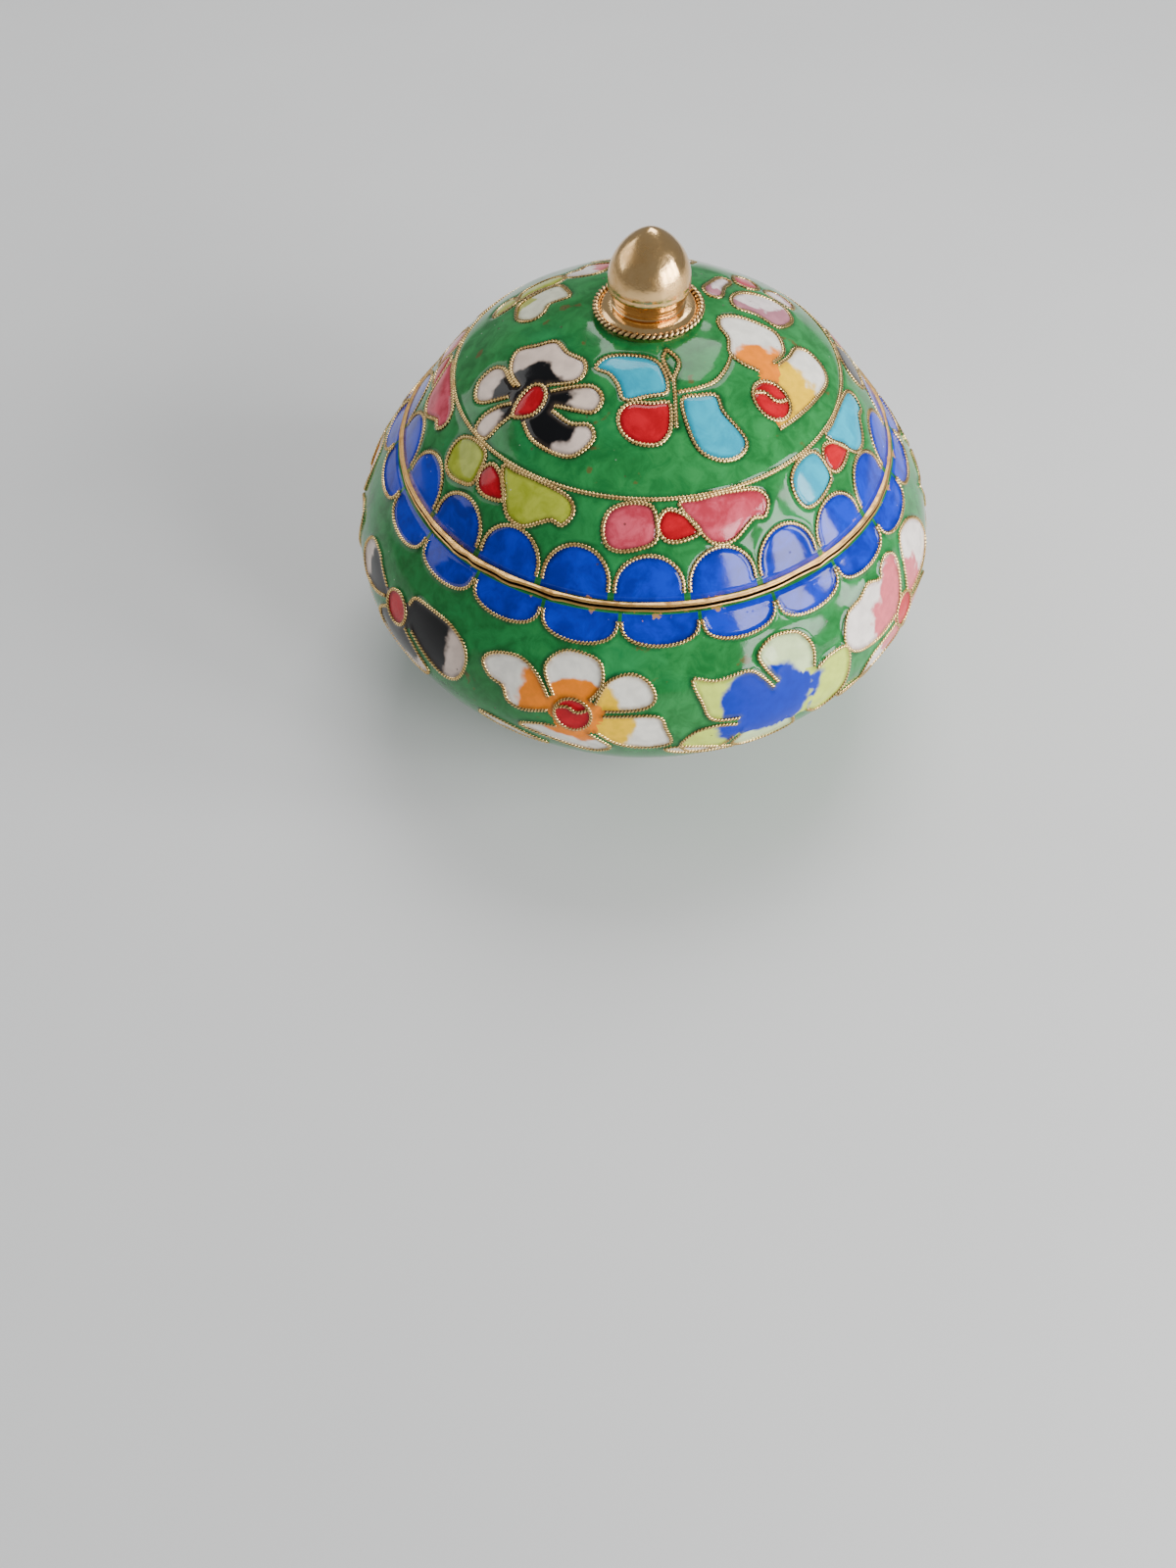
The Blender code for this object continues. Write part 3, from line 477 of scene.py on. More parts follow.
def petal_enamel(name, root, tip, edge, raggedness, edge_dark):
    """Two colours laid wet against each other: one by the flower's heart, one at the tip."""
    shades = Shades(name)
    ragged = 0.5 * shades.speckle(0.8, 1.5) + 1.1 * shades.speckle(2.4, 1.0) - 0.8
    reach = shades.marked("reach") + raggedness * ragged
    share = reach.rises(edge - 0.04, edge + 0.04)
    tip_cloud = shades.speckle(1.2, 4.0).rises(0.3, 0.7)
    tip_dim = tuple(0.82 * value for value in tip)
    root_cloud = shades.speckle(0.8, 5.0).rises(0.3, 0.7)
    root_dim = tuple(0.84 * value for value in root)
    colour = shades.mix(share, shades.mix(root_cloud, root_dim, root),
                        shades.mix(tip_cloud, tip_dim, tip))
    return glaze(shades, colour, edge_dark)


def gilt(name, colour, tarnish, roughness, patch_size=1.3, shade_grooves=False):
    """Gilded or brass metal, dull and brown in patches; painted shade in twists and crevices."""
    shades = Shades(name)
    patches = shades.speckle(patch_size, 5.0, 0.6).rises(0.42, 0.72)
    fine = shades.speckle(0.25, 3.0)
    tone = shades.mix(patches * 0.7, colour, tarnish)
    # Painted shade: the wires' twist and the rims' crevice are darkened to near black
    if shade_grooves:
        groove_shade = shades.marked("groove_shade").rises(0.35, 0.9)
        tone = shades.mix(groove_shade, tone, (0.05, 0.022, 0.008))
    return shades.finish(
        Base_Color=tone,
        Metallic=1.0,
        Roughness=roughness + 0.22 * patches + 0.12 * fine,
        Normal=shades.bump(fine + shades.speckle(0.9, 2.0), 0.03, 0.5),
    )


ENAMELS = {
    "green": green_enamel(),
    "cobalt": plain_enamel("cobalt enamel", (0.002, 0.015, 0.30), (0.002, 0.030, 0.58),
                           (0.002, 0.008, 0.09), 2.6),
    "turquoise": plain_enamel("turquoise enamel", (0.0, 0.34, 0.50), (0.001, 0.46, 0.64),
                              (0.004, 0.10, 0.15)),
    "red": plain_enamel("red enamel", (0.40, 0.002, 0.009), (0.58, 0.005, 0.018),
                        (0.09, 0.003, 0.003)),
    "lime": plain_enamel("lime enamel", (0.34, 0.40, 0.020), (0.50, 0.56, 0.055),
                         (0.09, 0.10, 0.012)),
    "pink": plain_enamel("pink enamel", (0.46, 0.035, 0.06), (0.72, 0.10, 0.15),
                         (0.14, 0.015, 0.02)),
    "black": plain_enamel("black enamel", (0.002, 0.002, 0.003), (0.008, 0.007, 0.009),
                          (0.002, 0.002, 0.002)),
    "white": plain_enamel("white enamel", (0.76, 0.74, 0.66), (0.90, 0.88, 0.80),
                          (0.26, 0.20, 0.10)),
    "white_orange": petal_enamel("white and orange enamel", (1.0, 0.25, 0.0),
                                 (0.92, 0.89, 0.80), 0.60, 0.26, (0.26, 0.12, 0.03)),
    "white_yellow": petal_enamel("white and yellow enamel", (1.0, 0.60, 0.0),
                                 (0.92, 0.89, 0.80), 0.60, 0.26, (0.30, 0.18, 0.04)),
    "white_black": petal_enamel("white and black enamel", (0.004, 0.004, 0.005),
                                (0.84, 0.66, 0.55), 0.62, 0.30, (0.08, 0.055, 0.04)),
    "mostly_black": petal_enamel("black and white enamel", (0.004, 0.004, 0.005),
                                 (0.80, 0.64, 0.55), 0.76, 0.26, (0.08, 0.055, 0.04)),
    "white_pink": petal_enamel("white and pink enamel", (0.72, 0.13, 0.16),
                               (0.90, 0.82, 0.76), 0.58, 0.32, (0.24, 0.10, 0.08)),
    "mauve_white": petal_enamel("mauve and white enamel", (0.88, 0.78, 0.76),
                                (0.50, 0.20, 0.25), 0.62, 0.6, (0.16, 0.07, 0.08)),
    "lime_cobalt": petal_enamel("lime and cobalt enamel", (0.0, 0.020, 0.44),
                                (0.60, 0.74, 0.10), 0.60, 0.22, (0.09, 0.11, 0.02)),
    "pale_cobalt": petal_enamel("pale green and cobalt enamel", (0.0, 0.020, 0.44),
                                (0.68, 0.84, 0.42), 0.54, 0.22, (0.11, 0.14, 0.05)),
    "pale_lime": petal_enamel("pale lime enamel", (0.48, 0.52, 0.10), (0.82, 0.82, 0.62),
                              0.5, 0.6, (0.16, 0.16, 0.05)),
    "lining": plain_enamel("turquoise lining", (0.020, 0.27, 0.36), (0.035, 0.40, 0.48),
                           (0.02, 0.24, 0.3), 3.0),
}
ENAMEL_ORDER = list(ENAMELS)
GROUND = ENAMEL_ORDER.index("green")
LINING = ENAMEL_ORDER.index("lining")
GILT_WIRE = gilt("gilt wire", (0.96, 0.67, 0.26), (0.46, 0.23, 0.06), 0.16, shade_grooves=True)
GILT_RIM = gilt("gilt rim", (0.76, 0.44, 0.14), (0.28, 0.13, 0.04), 0.24, shade_grooves=True)
BRASS_KNOB = gilt("polished brass", (0.84, 0.55, 0.25), (0.55, 0.31, 0.11), 0.06, 3.0)
BRASS_COLLAR = gilt("brass collar", (0.84, 0.56, 0.25), (0.40, 0.21, 0.07), 0.18, shade_grooves=True)


def smooth_curve(points, closed, steps):
    """A Catmull-Rom curve through the points, with this many steps between two of them."""
    count = len(points)
    curve = []
    for i in range(count if closed else count - 1):
        if closed:
            four = [points[(i + k) % count] for k in (-1, 0, 1, 2)]
        else:
            four = [points[min(max(i + k, 0), count - 1)] for k in (-1, 0, 1, 2)]
        a, b, c, d = (np.array(point, dtype=float) for point in four)
        for step in range(steps):
            t = step / steps
            bend = (2 * a - 5 * b + 4 * c - d) * t * t + (3 * b - a - 3 * c + d) * t ** 3
            curve.append(0.5 * (2 * b + (c - a) * t + bend))
    if not closed:
        curve.append(np.array(points[-1], dtype=float))
    return curve


def evenly_spaced(points, closed, step):
    """The same line with stations about one step apart, in any number of dimensions."""
    points = np.array(points)
    if closed:
        points = np.vstack((points, points[:1]))
    lengths = np.linalg.norm(np.diff(points, axis=0), axis=1)
    along = np.concatenate(([0.0], np.cumsum(lengths)))
    stations = np.linspace(0.0, along[-1], max(4, ceil(along[-1] / step)) + 1)
    if closed:
        stations = stations[:-1]
    return np.column_stack([np.interp(stations, along, column) for column in points.T])


def neighbours(points, closed):
    """The points before and after each one; an open line's ends are their own."""
    if closed:
        return np.roll(points, 1, axis=0), np.roll(points, -1, axis=0)
    return np.vstack((points[:1], points[:-1])), np.vstack((points[1:], points[-1:]))


class Shell:
    """A wall of revolution, laid out flat as a disc: from its pole out over the rim and in."""

    def __init__(self, profile, edge, pole_z, wall, rim_last):
        outer = np.array(smooth_curve(profile, False, PROFILE_STEPS))
        slope = np.gradient(outer, axis=0)
        across = np.column_stack((slope[:, 1], -slope[:, 0]))
        inner = outer - wall * across / np.hypot(*slope.T)[:, None]
        if not rim_last:
            outer, inner = outer[::-1], inner[::-1]
        side = 1.0 if rim_last else -1.0
        inner = inner[(outer[-1, 1] - inner[:, 1]) * side > wall][::-1]
        path = np.vstack(([[POLE_RADIUS, pole_z]], outer, [edge], [[edge[0] - wall, edge[1]]],
                          inner, [[POLE_RADIUS, pole_z + side * wall]]))
        self.radii, self.heights = path.T
        steps = np.hypot(*np.diff(path, axis=0).T)
        self.along = POLE_RADIUS + np.concatenate(([0.0], np.cumsum(steps)))
        last = len(outer)
        self.rim_along, self.edge_along, self.inner_along = self.along[last:last + 3]
        self.outer_count = last + 1

    def radius(self, along):
        """The wall's radius at this distance along it."""
        return np.interp(along, self.along, self.radii)

    def from_radius(self, radius):
        """Distance along the outer profile with this radius, on the pole's side."""
        last = np.argmax(self.radii[:self.outer_count]) + 1
        return np.interp(radius, self.radii[:last], self.along[:last])

    def points(self, places):
        """Places given as azimuth and distance along, as points in space."""
        azimuth, along = np.array(places).T
        radius = self.radius(along)
        height = np.interp(along, self.along, self.heights)
        return np.column_stack((radius * np.sin(azimuth), -radius * np.cos(azimuth), height))

    def outward(self, places):
        """The wall's outward directions at the places."""
        places = np.array(places)
        nudge = np.array((0.0, 0.25))
        tangent = self.points(places + nudge) - self.points(places - nudge)
        tangent /= np.linalg.norm(tangent, axis=1)[:, None]
        azimuth = places[:, 0]
        sideways = np.column_stack((np.cos(azimuth), np.sin(azimuth), np.zeros(len(azimuth))))
        return np.cross(sideways, tangent)

    def spaced(self, line, closed, step):
        """The line with stations about one step apart on the wall."""
        stretch = np.array((self.radius(line[:, 1].mean()), 1.0))
        return evenly_spaced(line * stretch, closed, step) / stretch


def flat(places):
    """Places on the wall as points of the disc."""
    azimuth, along = np.array(places).T
    return np.column_stack((along * np.sin(azimuth), -along * np.cos(azimuth)))


def new_piece(name, points, faces, materials, indices=None, marks=None):
    """A mesh object in metres that rides on the box."""
    mesh = bpy.data.meshes.new(name)
    mesh.from_pydata((np.asarray(points) * MM).tolist(), [], faces)
    for material in materials:
        mesh.materials.append(material)
    if indices is not None:
        mesh.polygons.foreach_set("material_index", np.asarray(indices, dtype=np.int32))
    for key, values in (marks or {}).items():
        mark = mesh.attributes.new(key, "FLOAT", "POINT")
        mark.data.foreach_set("value", np.asarray(values, dtype=np.float32))
    mesh.shade_smooth()
    mesh.update()
    piece = bpy.data.objects.new(name, mesh)
    bpy.context.scene.collection.objects.link(piece)
    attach(piece, "root")
    return piece


def inside(polygon, points):
    """Which of the points lie in the polygon."""
    x, y = points.T
    result = np.zeros(len(points), dtype=bool)
    for (x0, y0), (x1, y1) in zip(polygon, np.roll(polygon, -1, axis=0)):
        if y0 != y1:
            crosses = (y0 > y) != (y1 > y)
            result ^= crosses & (x < (x1 - x0) * (y - y0) / (y1 - y0) + x0)
    return result


def level_line(turns, along):
    """A line round the wall at one distance along it."""
    return np.column_stack((turns, np.full(len(turns), along)))


class Net:
    """The corners and fixed edges between which a wall's faces are found."""

    def __init__(self):
        self.places = []
        self.edges = []

    def add(self, line, closed=False, joined=True):
        first = len(self.places)
        self.places.extend(line)
        if joined:
            self.edges.extend((first + k, first + k + 1) for k in range(len(line) - 1))
            if closed:
                self.edges.append((first + len(line) - 1, first))

    def triangles(self):
        """The corners on the disc, and the triangles between them."""
        spread = [Vector(spot) for spot in flat(self.places)]
        found, _, faces, _, _, _ = delaunay_2d_cdt(spread, self.edges, [], 0, WELD_DISTANCE)
        return np.array([tuple(spot) for spot in found]), np.array(faces)


class Picture:
    """The wires and cells laid on one shell."""

    def __init__(self, shell):
        self.shell = shell
        self.wires = []
        self.cells = []
        self.borders = []

    def wire(self, places, closed):
        self.wires.append((np.array(places), closed))

    def cell(self, places, enamel, heart=None, reach=1.0):
        """Fill an outline; heart and reach say where the petal's root colour lies."""
        self.cells.append((np.array(places), enamel, heart, reach))

    def outline(self, places, enamel, heart=None, reach=1.0, closed=True):
        self.wire(places, closed)
        self.cell(places, enamel, heart, reach)

    def flower(self, lay, petals, enamels, bud=None):
        """Petals bent from open wires round a heart, with a red bud in it."""
        roots = []
        heart = lay([(0.0, 0.0)])[0]
        for k, petal in enumerate(petals):
            curve = lay(smooth_curve(petal, False, CURVE_STEPS))
            reach = max(hypot(x, y) for x, y in petal)
            self.outline(curve, enamels[k % len(enamels)], heart, reach, closed=False)
            roots += [petal[0], petal[-1]]
        roots.sort(key=lambda root: atan2(root[1], root[0]))
        self.cells.insert(0, (np.array(lay(roots)), enamels[0], heart, reach))
        if bud:
            self.outline(lay(bud), "red")

    def lay_wires(self, net):
        """Corners along every wire and in bands beside it; a tree finds the nearest wire."""
        shell = self.shell
        middle_lines = []
        for line, closed in self.wires:
            line = shell.spaced(line, closed, CELL_STEP)
            net.add(line, closed)
            before, after = neighbours(line, closed)
            radius = shell.radius(line[:, 1])
            run = (after - before) * np.column_stack((radius, np.ones(len(line))))
            run /= np.linalg.norm(run, axis=1)[:, None] + 1e-9
            for band in WIRE_BANDS:
                aside = band * np.column_stack((-run[:, 1] / radius, run[:, 0]))
                net.add(line + aside, joined=False)
            middle_lines.append(shell.points(line))
        middle_lines = np.vstack(middle_lines)
        tree = kdtree.KDTree(len(middle_lines))
        for k, point in enumerate(middle_lines):
            tree.insert(point, k)
        tree.balance()
        return tree

    def lay_rows(self, net, tree):
        """Corners in rows clear of the wires, the cells' borders and the wall's edges."""
        shell = self.shell
        rows = np.arange(POLE_RADIUS, shell.rim_along - RIM_MARGIN, ENAMEL_STEP)
        for row, along in enumerate(rows[1:]):
            count = max(FEWEST_CORNERS, round(2 * pi * shell.radius(along) / ENAMEL_STEP))
            turns = (np.arange(count) + 0.5 * (row % 2)) * 2 * pi / count
            line = level_line(turns, along)
            clear = [tree.find(spot)[2] > WIRE_CLEARANCE for spot in shell.points(line)]
            net.add(line[clear], joined=False)
        for border in self.borders:
            net.add(border)
        count = SCALLOP_CORNERS * SCALLOPS
        turns = np.arange(count) * 2 * pi / count
        for along in (shell.along[0], shell.rim_along - RIM_MARGIN, shell.rim_along,
                      shell.edge_along, shell.inner_along, shell.along[-1]):
            net.add(level_line(turns, along), True)
        for along in np.linspace(shell.inner_along, shell.along[-1], LINING_ROWS)[1:-1]:
            net.add(level_line(turns[::LINING_SPARSENESS], along), joined=False)

    def raised(self, polar, distance):
        """Points on the wall, with the glass drawn up by each wire and slightly wavy."""
        shell = self.shell
        azimuth, along = polar.T
        wave = 0.9 * along
        rise = MENISCUS * np.exp(-(distance / MENISCUS_REACH) ** 2)
        rise += WAVE * (np.sin(5 * azimuth + wave) + np.sin(9 * azimuth - 0.7 * wave + 2.0)) / 2
        fade = np.clip((shell.edge_along - along) / EDGE_FADE, 0.0, 1.0)
        rise *= np.where(along < shell.edge_along - EDGE_OVERLAP, fade, 0.0)
        return shell.points(polar) + rise[:, None] * shell.outward(polar)

    def painted(self, disc, corners, points):
        """Each face's enamel, and how far each corner is from its petal's heart."""
        shell = self.shell
        middles = disc[corners].mean(axis=1)
        indices = np.full(len(corners), GROUND)
        reach = np.ones(len(points))
        for outline, enamel, heart, size in self.cells:
            polygon = flat(outline)
            low, high = polygon.min(axis=0), polygon.max(axis=0)
            near = np.all((middles > low) & (middles < high), axis=1).nonzero()[0]
            near = near[inside(polygon, middles[near])]
            indices[near] = ENAMEL_ORDER.index(enamel)
            if heart is not None:
                middle = shell.points([heart])[0]
                touched = np.unique(corners[near])
                reach[touched] = np.linalg.norm(points[touched] - middle, axis=1) / size
        indices[np.hypot(*middles.T) > shell.inner_along - LINING_OVERLAP] = LINING
        return indices, reach

    def enamel(self, name, node):
        """The shell's glass as one closed mesh, in the place of the plain wall."""
        shell = self.shell
        net = Net()
        tree = self.lay_wires(net)
        self.lay_rows(net, tree)
        disc, corners = net.triangles()
        along = np.hypot(*disc.T)
        polar = np.column_stack((np.arctan2(disc[:, 0], -disc[:, 1]), along))
        distance = np.array([tree.find(point)[2] for point in shell.points(polar)])
        points = self.raised(polar, distance)
        corners = corners[along[corners].max(axis=1) > POLE_RADIUS + RING_TOLERANCE]
        indices, reach = self.painted(disc, corners, points)
        caps = []
        for edge in (shell.along[0], shell.along[-1]):
            ring = (np.abs(along - edge) < RING_TOLERANCE).nonzero()[0]
            caps.append(ring[np.argsort(polar[ring, 0])].tolist())
        caps[0].reverse()
        piece = new_piece(name, points, corners.tolist() + caps,
                          list(ENAMELS.values()), np.append(indices, [GROUND, LINING]), {
            "wire_distance": np.minimum(distance, FARTHEST_WIRE), "reach": reach,
            "rim_distance": np.clip(shell.edge_along - along, 0.0, FARTHEST_RIM),
        })
        fix_normals(piece)
        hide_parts(node)

    def twisted_wires(self, name):
        """Every wire of the picture, two strands twisted together."""
        parts = []
        for line, closed in self.wires:
            behind = self.shell.points(line)[:, 1].mean() > BACK_BEGINS_Y
            step = WIRE_STEP * (BACK_WIRE_COARSENESS if behind else 1.0)
            line = self.shell.spaced(line, closed, step)
            up = self.shell.outward(line)
            parts.append(twisted(self.shell.points(line) + WIRE_LIFT * up, up, closed,
                                 WIRE_CREST, WIRE_WAIST, WIRE_TWIST))
        points, faces, groove_shades = joined(parts)
        return new_piece(name, points, faces, [GILT_WIRE], marks={"groove_shade": groove_shades})


def twisted(points, up, closed, crest, waist, twist):
    """Two strands twisted together along the points: two crests turn round a flat-backed wire."""
    count = len(points)
    before, after = neighbours(points, closed)
    tangent = after - before
    tangent /= np.linalg.norm(tangent, axis=1)[:, None] + 1e-12
    side = np.cross(tangent, up)
    side /= np.linalg.norm(side, axis=1)[:, None] + 1e-12
    steps = np.linalg.norm(after - points, axis=1)
    along = np.cumsum(steps) - steps
    length = steps.sum()
    wind = along / length * max(1, round(2 * length / twist)) * pi
    rings, groove_shades = [], []
    for share in WIRE_SIDES:
        angle = share * pi
        lobe = 0.5 + 0.5 * np.cos(2 * (angle - wind))
        size = (waist + (crest - waist) * lobe)[:, None]
        rings.append(points + size * (cos(angle) * side + sin(angle) * up))
        # Painted shade in the twist, darkest where the crests turn away from this side
        groove_shades.append(1.0 - lobe)
    sides = len(rings)
    vertices = np.stack(rings, axis=1).reshape(-1, 3)
    faces = []
    for k in range(count if closed else count - 1):
        here, there = k * sides, (k + 1) % count * sides
        for s in range(sides):
            t = (s + 1) % sides
            faces.append((here + s, there + s, there + t, here + t))
    if not closed:
        faces.append(tuple(range(sides)))
        faces.append(tuple((count - 1) * sides + s for s in range(sides))[::-1])
    return vertices, faces, np.stack(groove_shades, axis=1).reshape(-1)


def joined(parts):
    """Several meshes' points, faces and marks as one."""
    points, faces, groove_shades, first = [], [], [], 0
    for some_points, some_faces, some_groove_shades in parts:
        points.append(some_points)
        faces.extend(tuple(corner + first for corner in face) for face in some_faces)
        groove_shades.append(some_groove_shades)
        first += len(some_points)
    return np.vstack(points), faces, np.concatenate(groove_shades)


def fix_normals(piece):
    """Weld the mesh's poles and turn every face outwards."""
    builder = bmesh.new()
    builder.from_mesh(piece.data)
    bmesh.ops.remove_doubles(builder, verts=builder.verts[:], dist=1e-6)
    loose = [vert for vert in builder.verts if not vert.link_faces]
    bmesh.ops.delete(builder, geom=loose, context="VERTS")
    bmesh.ops.recalc_face_normals(builder, faces=builder.faces[:])
    builder.to_mesh(piece.data)
    builder.free()


def turned(name, profile, material, node, segments=RIM_SEGMENTS, closed=True,
           shape=None, shaded=None):
    """A piece of revolution; shape moves a ring with the azimuth, shaded says where its crevice
    gets painted shade.
    """
    points, groove_shades = [], []
    for turn in np.arange(segments) * 2 * pi / segments:
        for radius, height in profile:
            groove_shades.append(1.0 if shaded and shaded(radius, height) else 0.0)
            if shape:
                radius, height = shape(turn, radius, height)
            points.append((radius * sin(turn), -radius * cos(turn), height))
    count = len(profile)
    faces = []
    for k in range(segments):
        here, there = k * count, (k + 1) % segments * count
        for s in range(count if closed else count - 1):
            t = (s + 1) % count
            faces.append((here + s, there + s, there + t, here + t))
    piece = new_piece(name, points, faces, [material], marks={"groove_shade": groove_shades})
    fix_normals(piece)
    piece.data.set_sharp_from_angle(angle=radians(SHARP_ANGLE))
    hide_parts(node)
    return piece


def scallop_row(picture, depth, turn, waist, roundness):
    """The row of cobalt scallops along the rim, each bent from its own wire."""
    shell = picture.shell
    pitch = 360.0 / SCALLOPS
    half = radians(pitch - SCALLOP_FOOT_GAP) / 2
    foot = shell.rim_along - SCALLOP_INSET
    for k in range(SCALLOPS):
        middle = radians(k * pitch + turn + pitch / 2)
        uneven = 1.0 + SCALLOP_UNEVENNESS * sin(2.3 * k)
        bend = np.linspace(0.0, pi, SCALLOP_BEND_POINTS)
        wide = half * (1.0 - waist * (1.0 - np.sin(bend)) ** 4)
        places = np.column_stack((middle - wide * np.cos(bend),
                                  foot - uneven * depth * np.sin(bend) ** roundness))
        picture.wire(places, False)
        edge = np.linspace(places[-1, 0], places[0, 0], SCALLOP_EDGE_POINTS)
        edge = level_line(edge, shell.edge_along + EDGE_OVERLAP)
        picture.cell(np.vstack((places, edge)), "cobalt")
        picture.borders += [np.array((places[-1], edge[0])), np.array((places[0], edge[-1]))]


def lid_picture(shell):
    """Scallops and leaf pairs round the rim; a ring; flowers and a butterfly of leaves in it."""
    picture = Picture(shell)
    turns = np.linspace(0.0, 2 * pi, LID_RING_POINTS)
    picture.wire(level_line(turns, shell.from_radius(LID_RING_RADIUS)), False)
    scallop_row(picture, LID_SCALLOP_DEPTH, LID_SCALLOP_TURN, LID_SCALLOP_WAIST,
                LID_SCALLOP_ROUNDNESS)

    def lay(points, centre=(0.0, 0.0)):
        x = np.array([point[0] for point in points]) + centre[0]
        y = np.array([point[1] for point in points]) + centre[1]
        azimuth = np.unwrap(np.arctan2(x, -y))
        return np.column_stack((azimuth, shell.from_radius(np.hypot(x, y))))

    for outline, enamel in (
        (TEAL_LEAF_LEFT, "turquoise"), (RED_BUD, "red"), (TEAL_LEAF_RIGHT, "turquoise"),
    ):
        picture.outline(lay(smooth_curve(outline, True, CURVE_STEPS)), enamel)
    for line in (STEM, STEM_LEAF, TENDRIL):
        picture.wire(lay(smooth_curve(line, False, LONG_CURVE_STEPS)), False)
    heart = lay([HALF_FLOWER_BUD])[0]
    picture.cell(lay(HALF_FLOWER_HEART), "white_orange", heart, HALF_FLOWER_REACH)
    for petal, enamel in zip(HALF_FLOWER, ("white_orange", "white_yellow")):
        picture.outline(lay(smooth_curve(petal, False, LONG_CURVE_STEPS)), enamel, heart,
                        HALF_FLOWER_REACH, closed=False)
    picture.outline(lay(round_bud(HALF_FLOWER_BUD, BUD_RADIUS)), "red")
    picture.wire(lay(smooth_curve(BUD_LINE, False, CURVE_STEPS), HALF_FLOWER_BUD), False)
    for petals, enamels, middle in (
        (RIGHT_FLOWER, RIGHT_FLOWER_PETALS, RIGHT_FLOWER_HEART),
        (LEFT_FLOWER, LEFT_FLOWER_PETALS, LEFT_FLOWER_HEART),
    ):
        heart = lay([middle])[0]
        for petal, enamel in zip(petals, enamels):
            picture.outline(lay(smooth_curve(petal, True, CURVE_STEPS)), enamel, heart,
                            SIDE_FLOWER_REACH)
    picture.flower(lambda points: lay(points, BLACK_FLOWER_CENTRE), BLACK_FLOWER,
                   BLACK_PETALS, smooth_curve(BLACK_FLOWER_BUD, True, CURVE_STEPS))
    back = [[(BACK_FLOWER_SCALE * x, -BACK_FLOWER_SCALE * y) for x, y in petal]
            for petal in OPEN_FLOWER]
    picture.flower(lambda points: lay(points, BACK_FLOWER_CENTRE), back,
                   ("white_pink",), round_bud((0.0, 0.0), BUD_RADIUS))
    for k, colour in enumerate(LEAF_PAIR_COLOURS):
        middle = LEAF_PAIR_TURN + k * 360.0 / LEAF_PAIRS
        for outline, enamel in (
            (PAIR_LEFT_LEAF, colour), (PAIR_BUD, "red"), (PAIR_RIGHT_LEAF, colour),
        ):
            points = []
            for turn, inward in outline:
                azimuth, radius = radians(middle + turn), RIM_RADIUS - inward
                points.append((radius * sin(azimuth), -radius * cos(azimuth)))
            picture.outline(lay(smooth_curve(points, True, CURVE_STEPS)), enamel)
    return picture


def bowl_picture(shell):
    """Scallops under the rim, and below them a row of flowers with a small leaf to each."""
    picture = Picture(shell)
    scallop_row(picture, BOWL_SCALLOP_DEPTH, BOWL_SCALLOP_TURN, BOWL_SCALLOP_WAIST,
                BOWL_SCALLOP_ROUNDNESS)

    def layer(middle, drop):
        def lay(points):
            x = np.array([point[0] for point in points])
            along = shell.rim_along - drop + np.array([point[1] for point in points])
            return np.column_stack((radians(middle) + x / shell.radius(along), along))
        return lay

    for middle, drop, petals, enamels in BOWL_FLOWERS:
        lay = layer(middle, drop)
        bud = None if petals is LEANING_FLOWER else round_bud((0.0, BUD_SINK), OPEN_FLOWER_BUD)
        picture.flower(lay, petals, enamels, bud)
        if petals is OPEN_FLOWER:
            picture.wire(lay(smooth_curve(BUD_LINE, False, CURVE_STEPS)), False)
        lay = layer(middle + SLIVER_OFFSET, SLIVER_DROP)
        picture.outline(lay(smooth_curve(SLIVER_LEAF, True, CURVE_STEPS)), "white")
    return picture


def round_bud(centre, radius):
    turns = np.linspace(0.0, 2 * pi, 32, endpoint=False)
    return [(centre[0] + radius * cos(t), centre[1] + radius * sin(t)) for t in turns]


def rounded_band(inner, outer, bottom, top, rounding):
    """A band's section with its outer edges rounded."""
    section = [(inner, bottom)]
    for middle_z, start in ((bottom + rounding, -pi / 2), (top - rounding, 0.0)):
        for step in range(BAND_ROUNDING_STEPS + 1):
            turn = start + step / BAND_ROUNDING_STEPS * pi / 2
            section.append((outer - rounding + rounding * cos(turn),
                            middle_z + rounding * sin(turn)))
    return section + [(inner, top)]


def hammered(turn, radius, height):
    """The slight waver of a wire bent and soldered by hand, with a few lumps of solder."""
    waver = sum(depth * sin(waves * turn + shift) for depth, waves, shift in RIM_WAVERS)
    for azimuth in SOLDER_LUMPS:
        away = (turn - radians(azimuth) + pi) % (2 * pi) - pi
        waver += SOLDER_HEIGHT * exp(-((away / SOLDER_WIDTH) ** 2))
    depth, waves, shift = RIM_SWAY
    return radius + waver, height + depth * sin(waves * turn + shift)


def build_rims():
    """The bowl's band with its lip, and the lid's, with painted shade in the crevice between
    them.
    """
    rim_inner = RIM_RADIUS - RIM_WIDTH
    lip = rim_inner + LIP_THICKNESS
    top = SEAM_Z - SEAM_GAP
    section = rounded_band(rim_inner, RIM_RADIUS, top - RIM_WIRE, top, RIM_WIRE / 2)
    section = section[:-1] + [(lip, top), (lip, LIP_TOP_Z), (rim_inner, LIP_TOP_Z)]
    # The band's top, inside the crevice, gets painted shade
    crevice = RIM_RADIUS - CREVICE_SHADE_INSET
    turned("bowl_rim_band", section, GILT_RIM, "bowl_rim", shape=hammered,
           shaded=lambda radius, height: radius < crevice and height > top - CREVICE_SHADE_HEIGHT)
    bottom = SEAM_Z + SEAM_GAP
    lid_outer = RIM_RADIUS - LID_RIM_SETBACK
    section = rounded_band(lip + LIP_CLEARANCE, lid_outer, bottom, bottom + RIM_WIRE,
                           RIM_WIRE / 2)
    # The lid band's underside, inside the crevice, gets painted shade
    lid_crevice = lid_outer - CREVICE_SHADE_INSET
    turned("lid_rim_band", section, GILT_RIM, "lid_rim", shape=hammered,
           shaded=lambda radius, height: radius < lid_crevice and height < bottom + CREVICE_SHADE_HEIGHT)


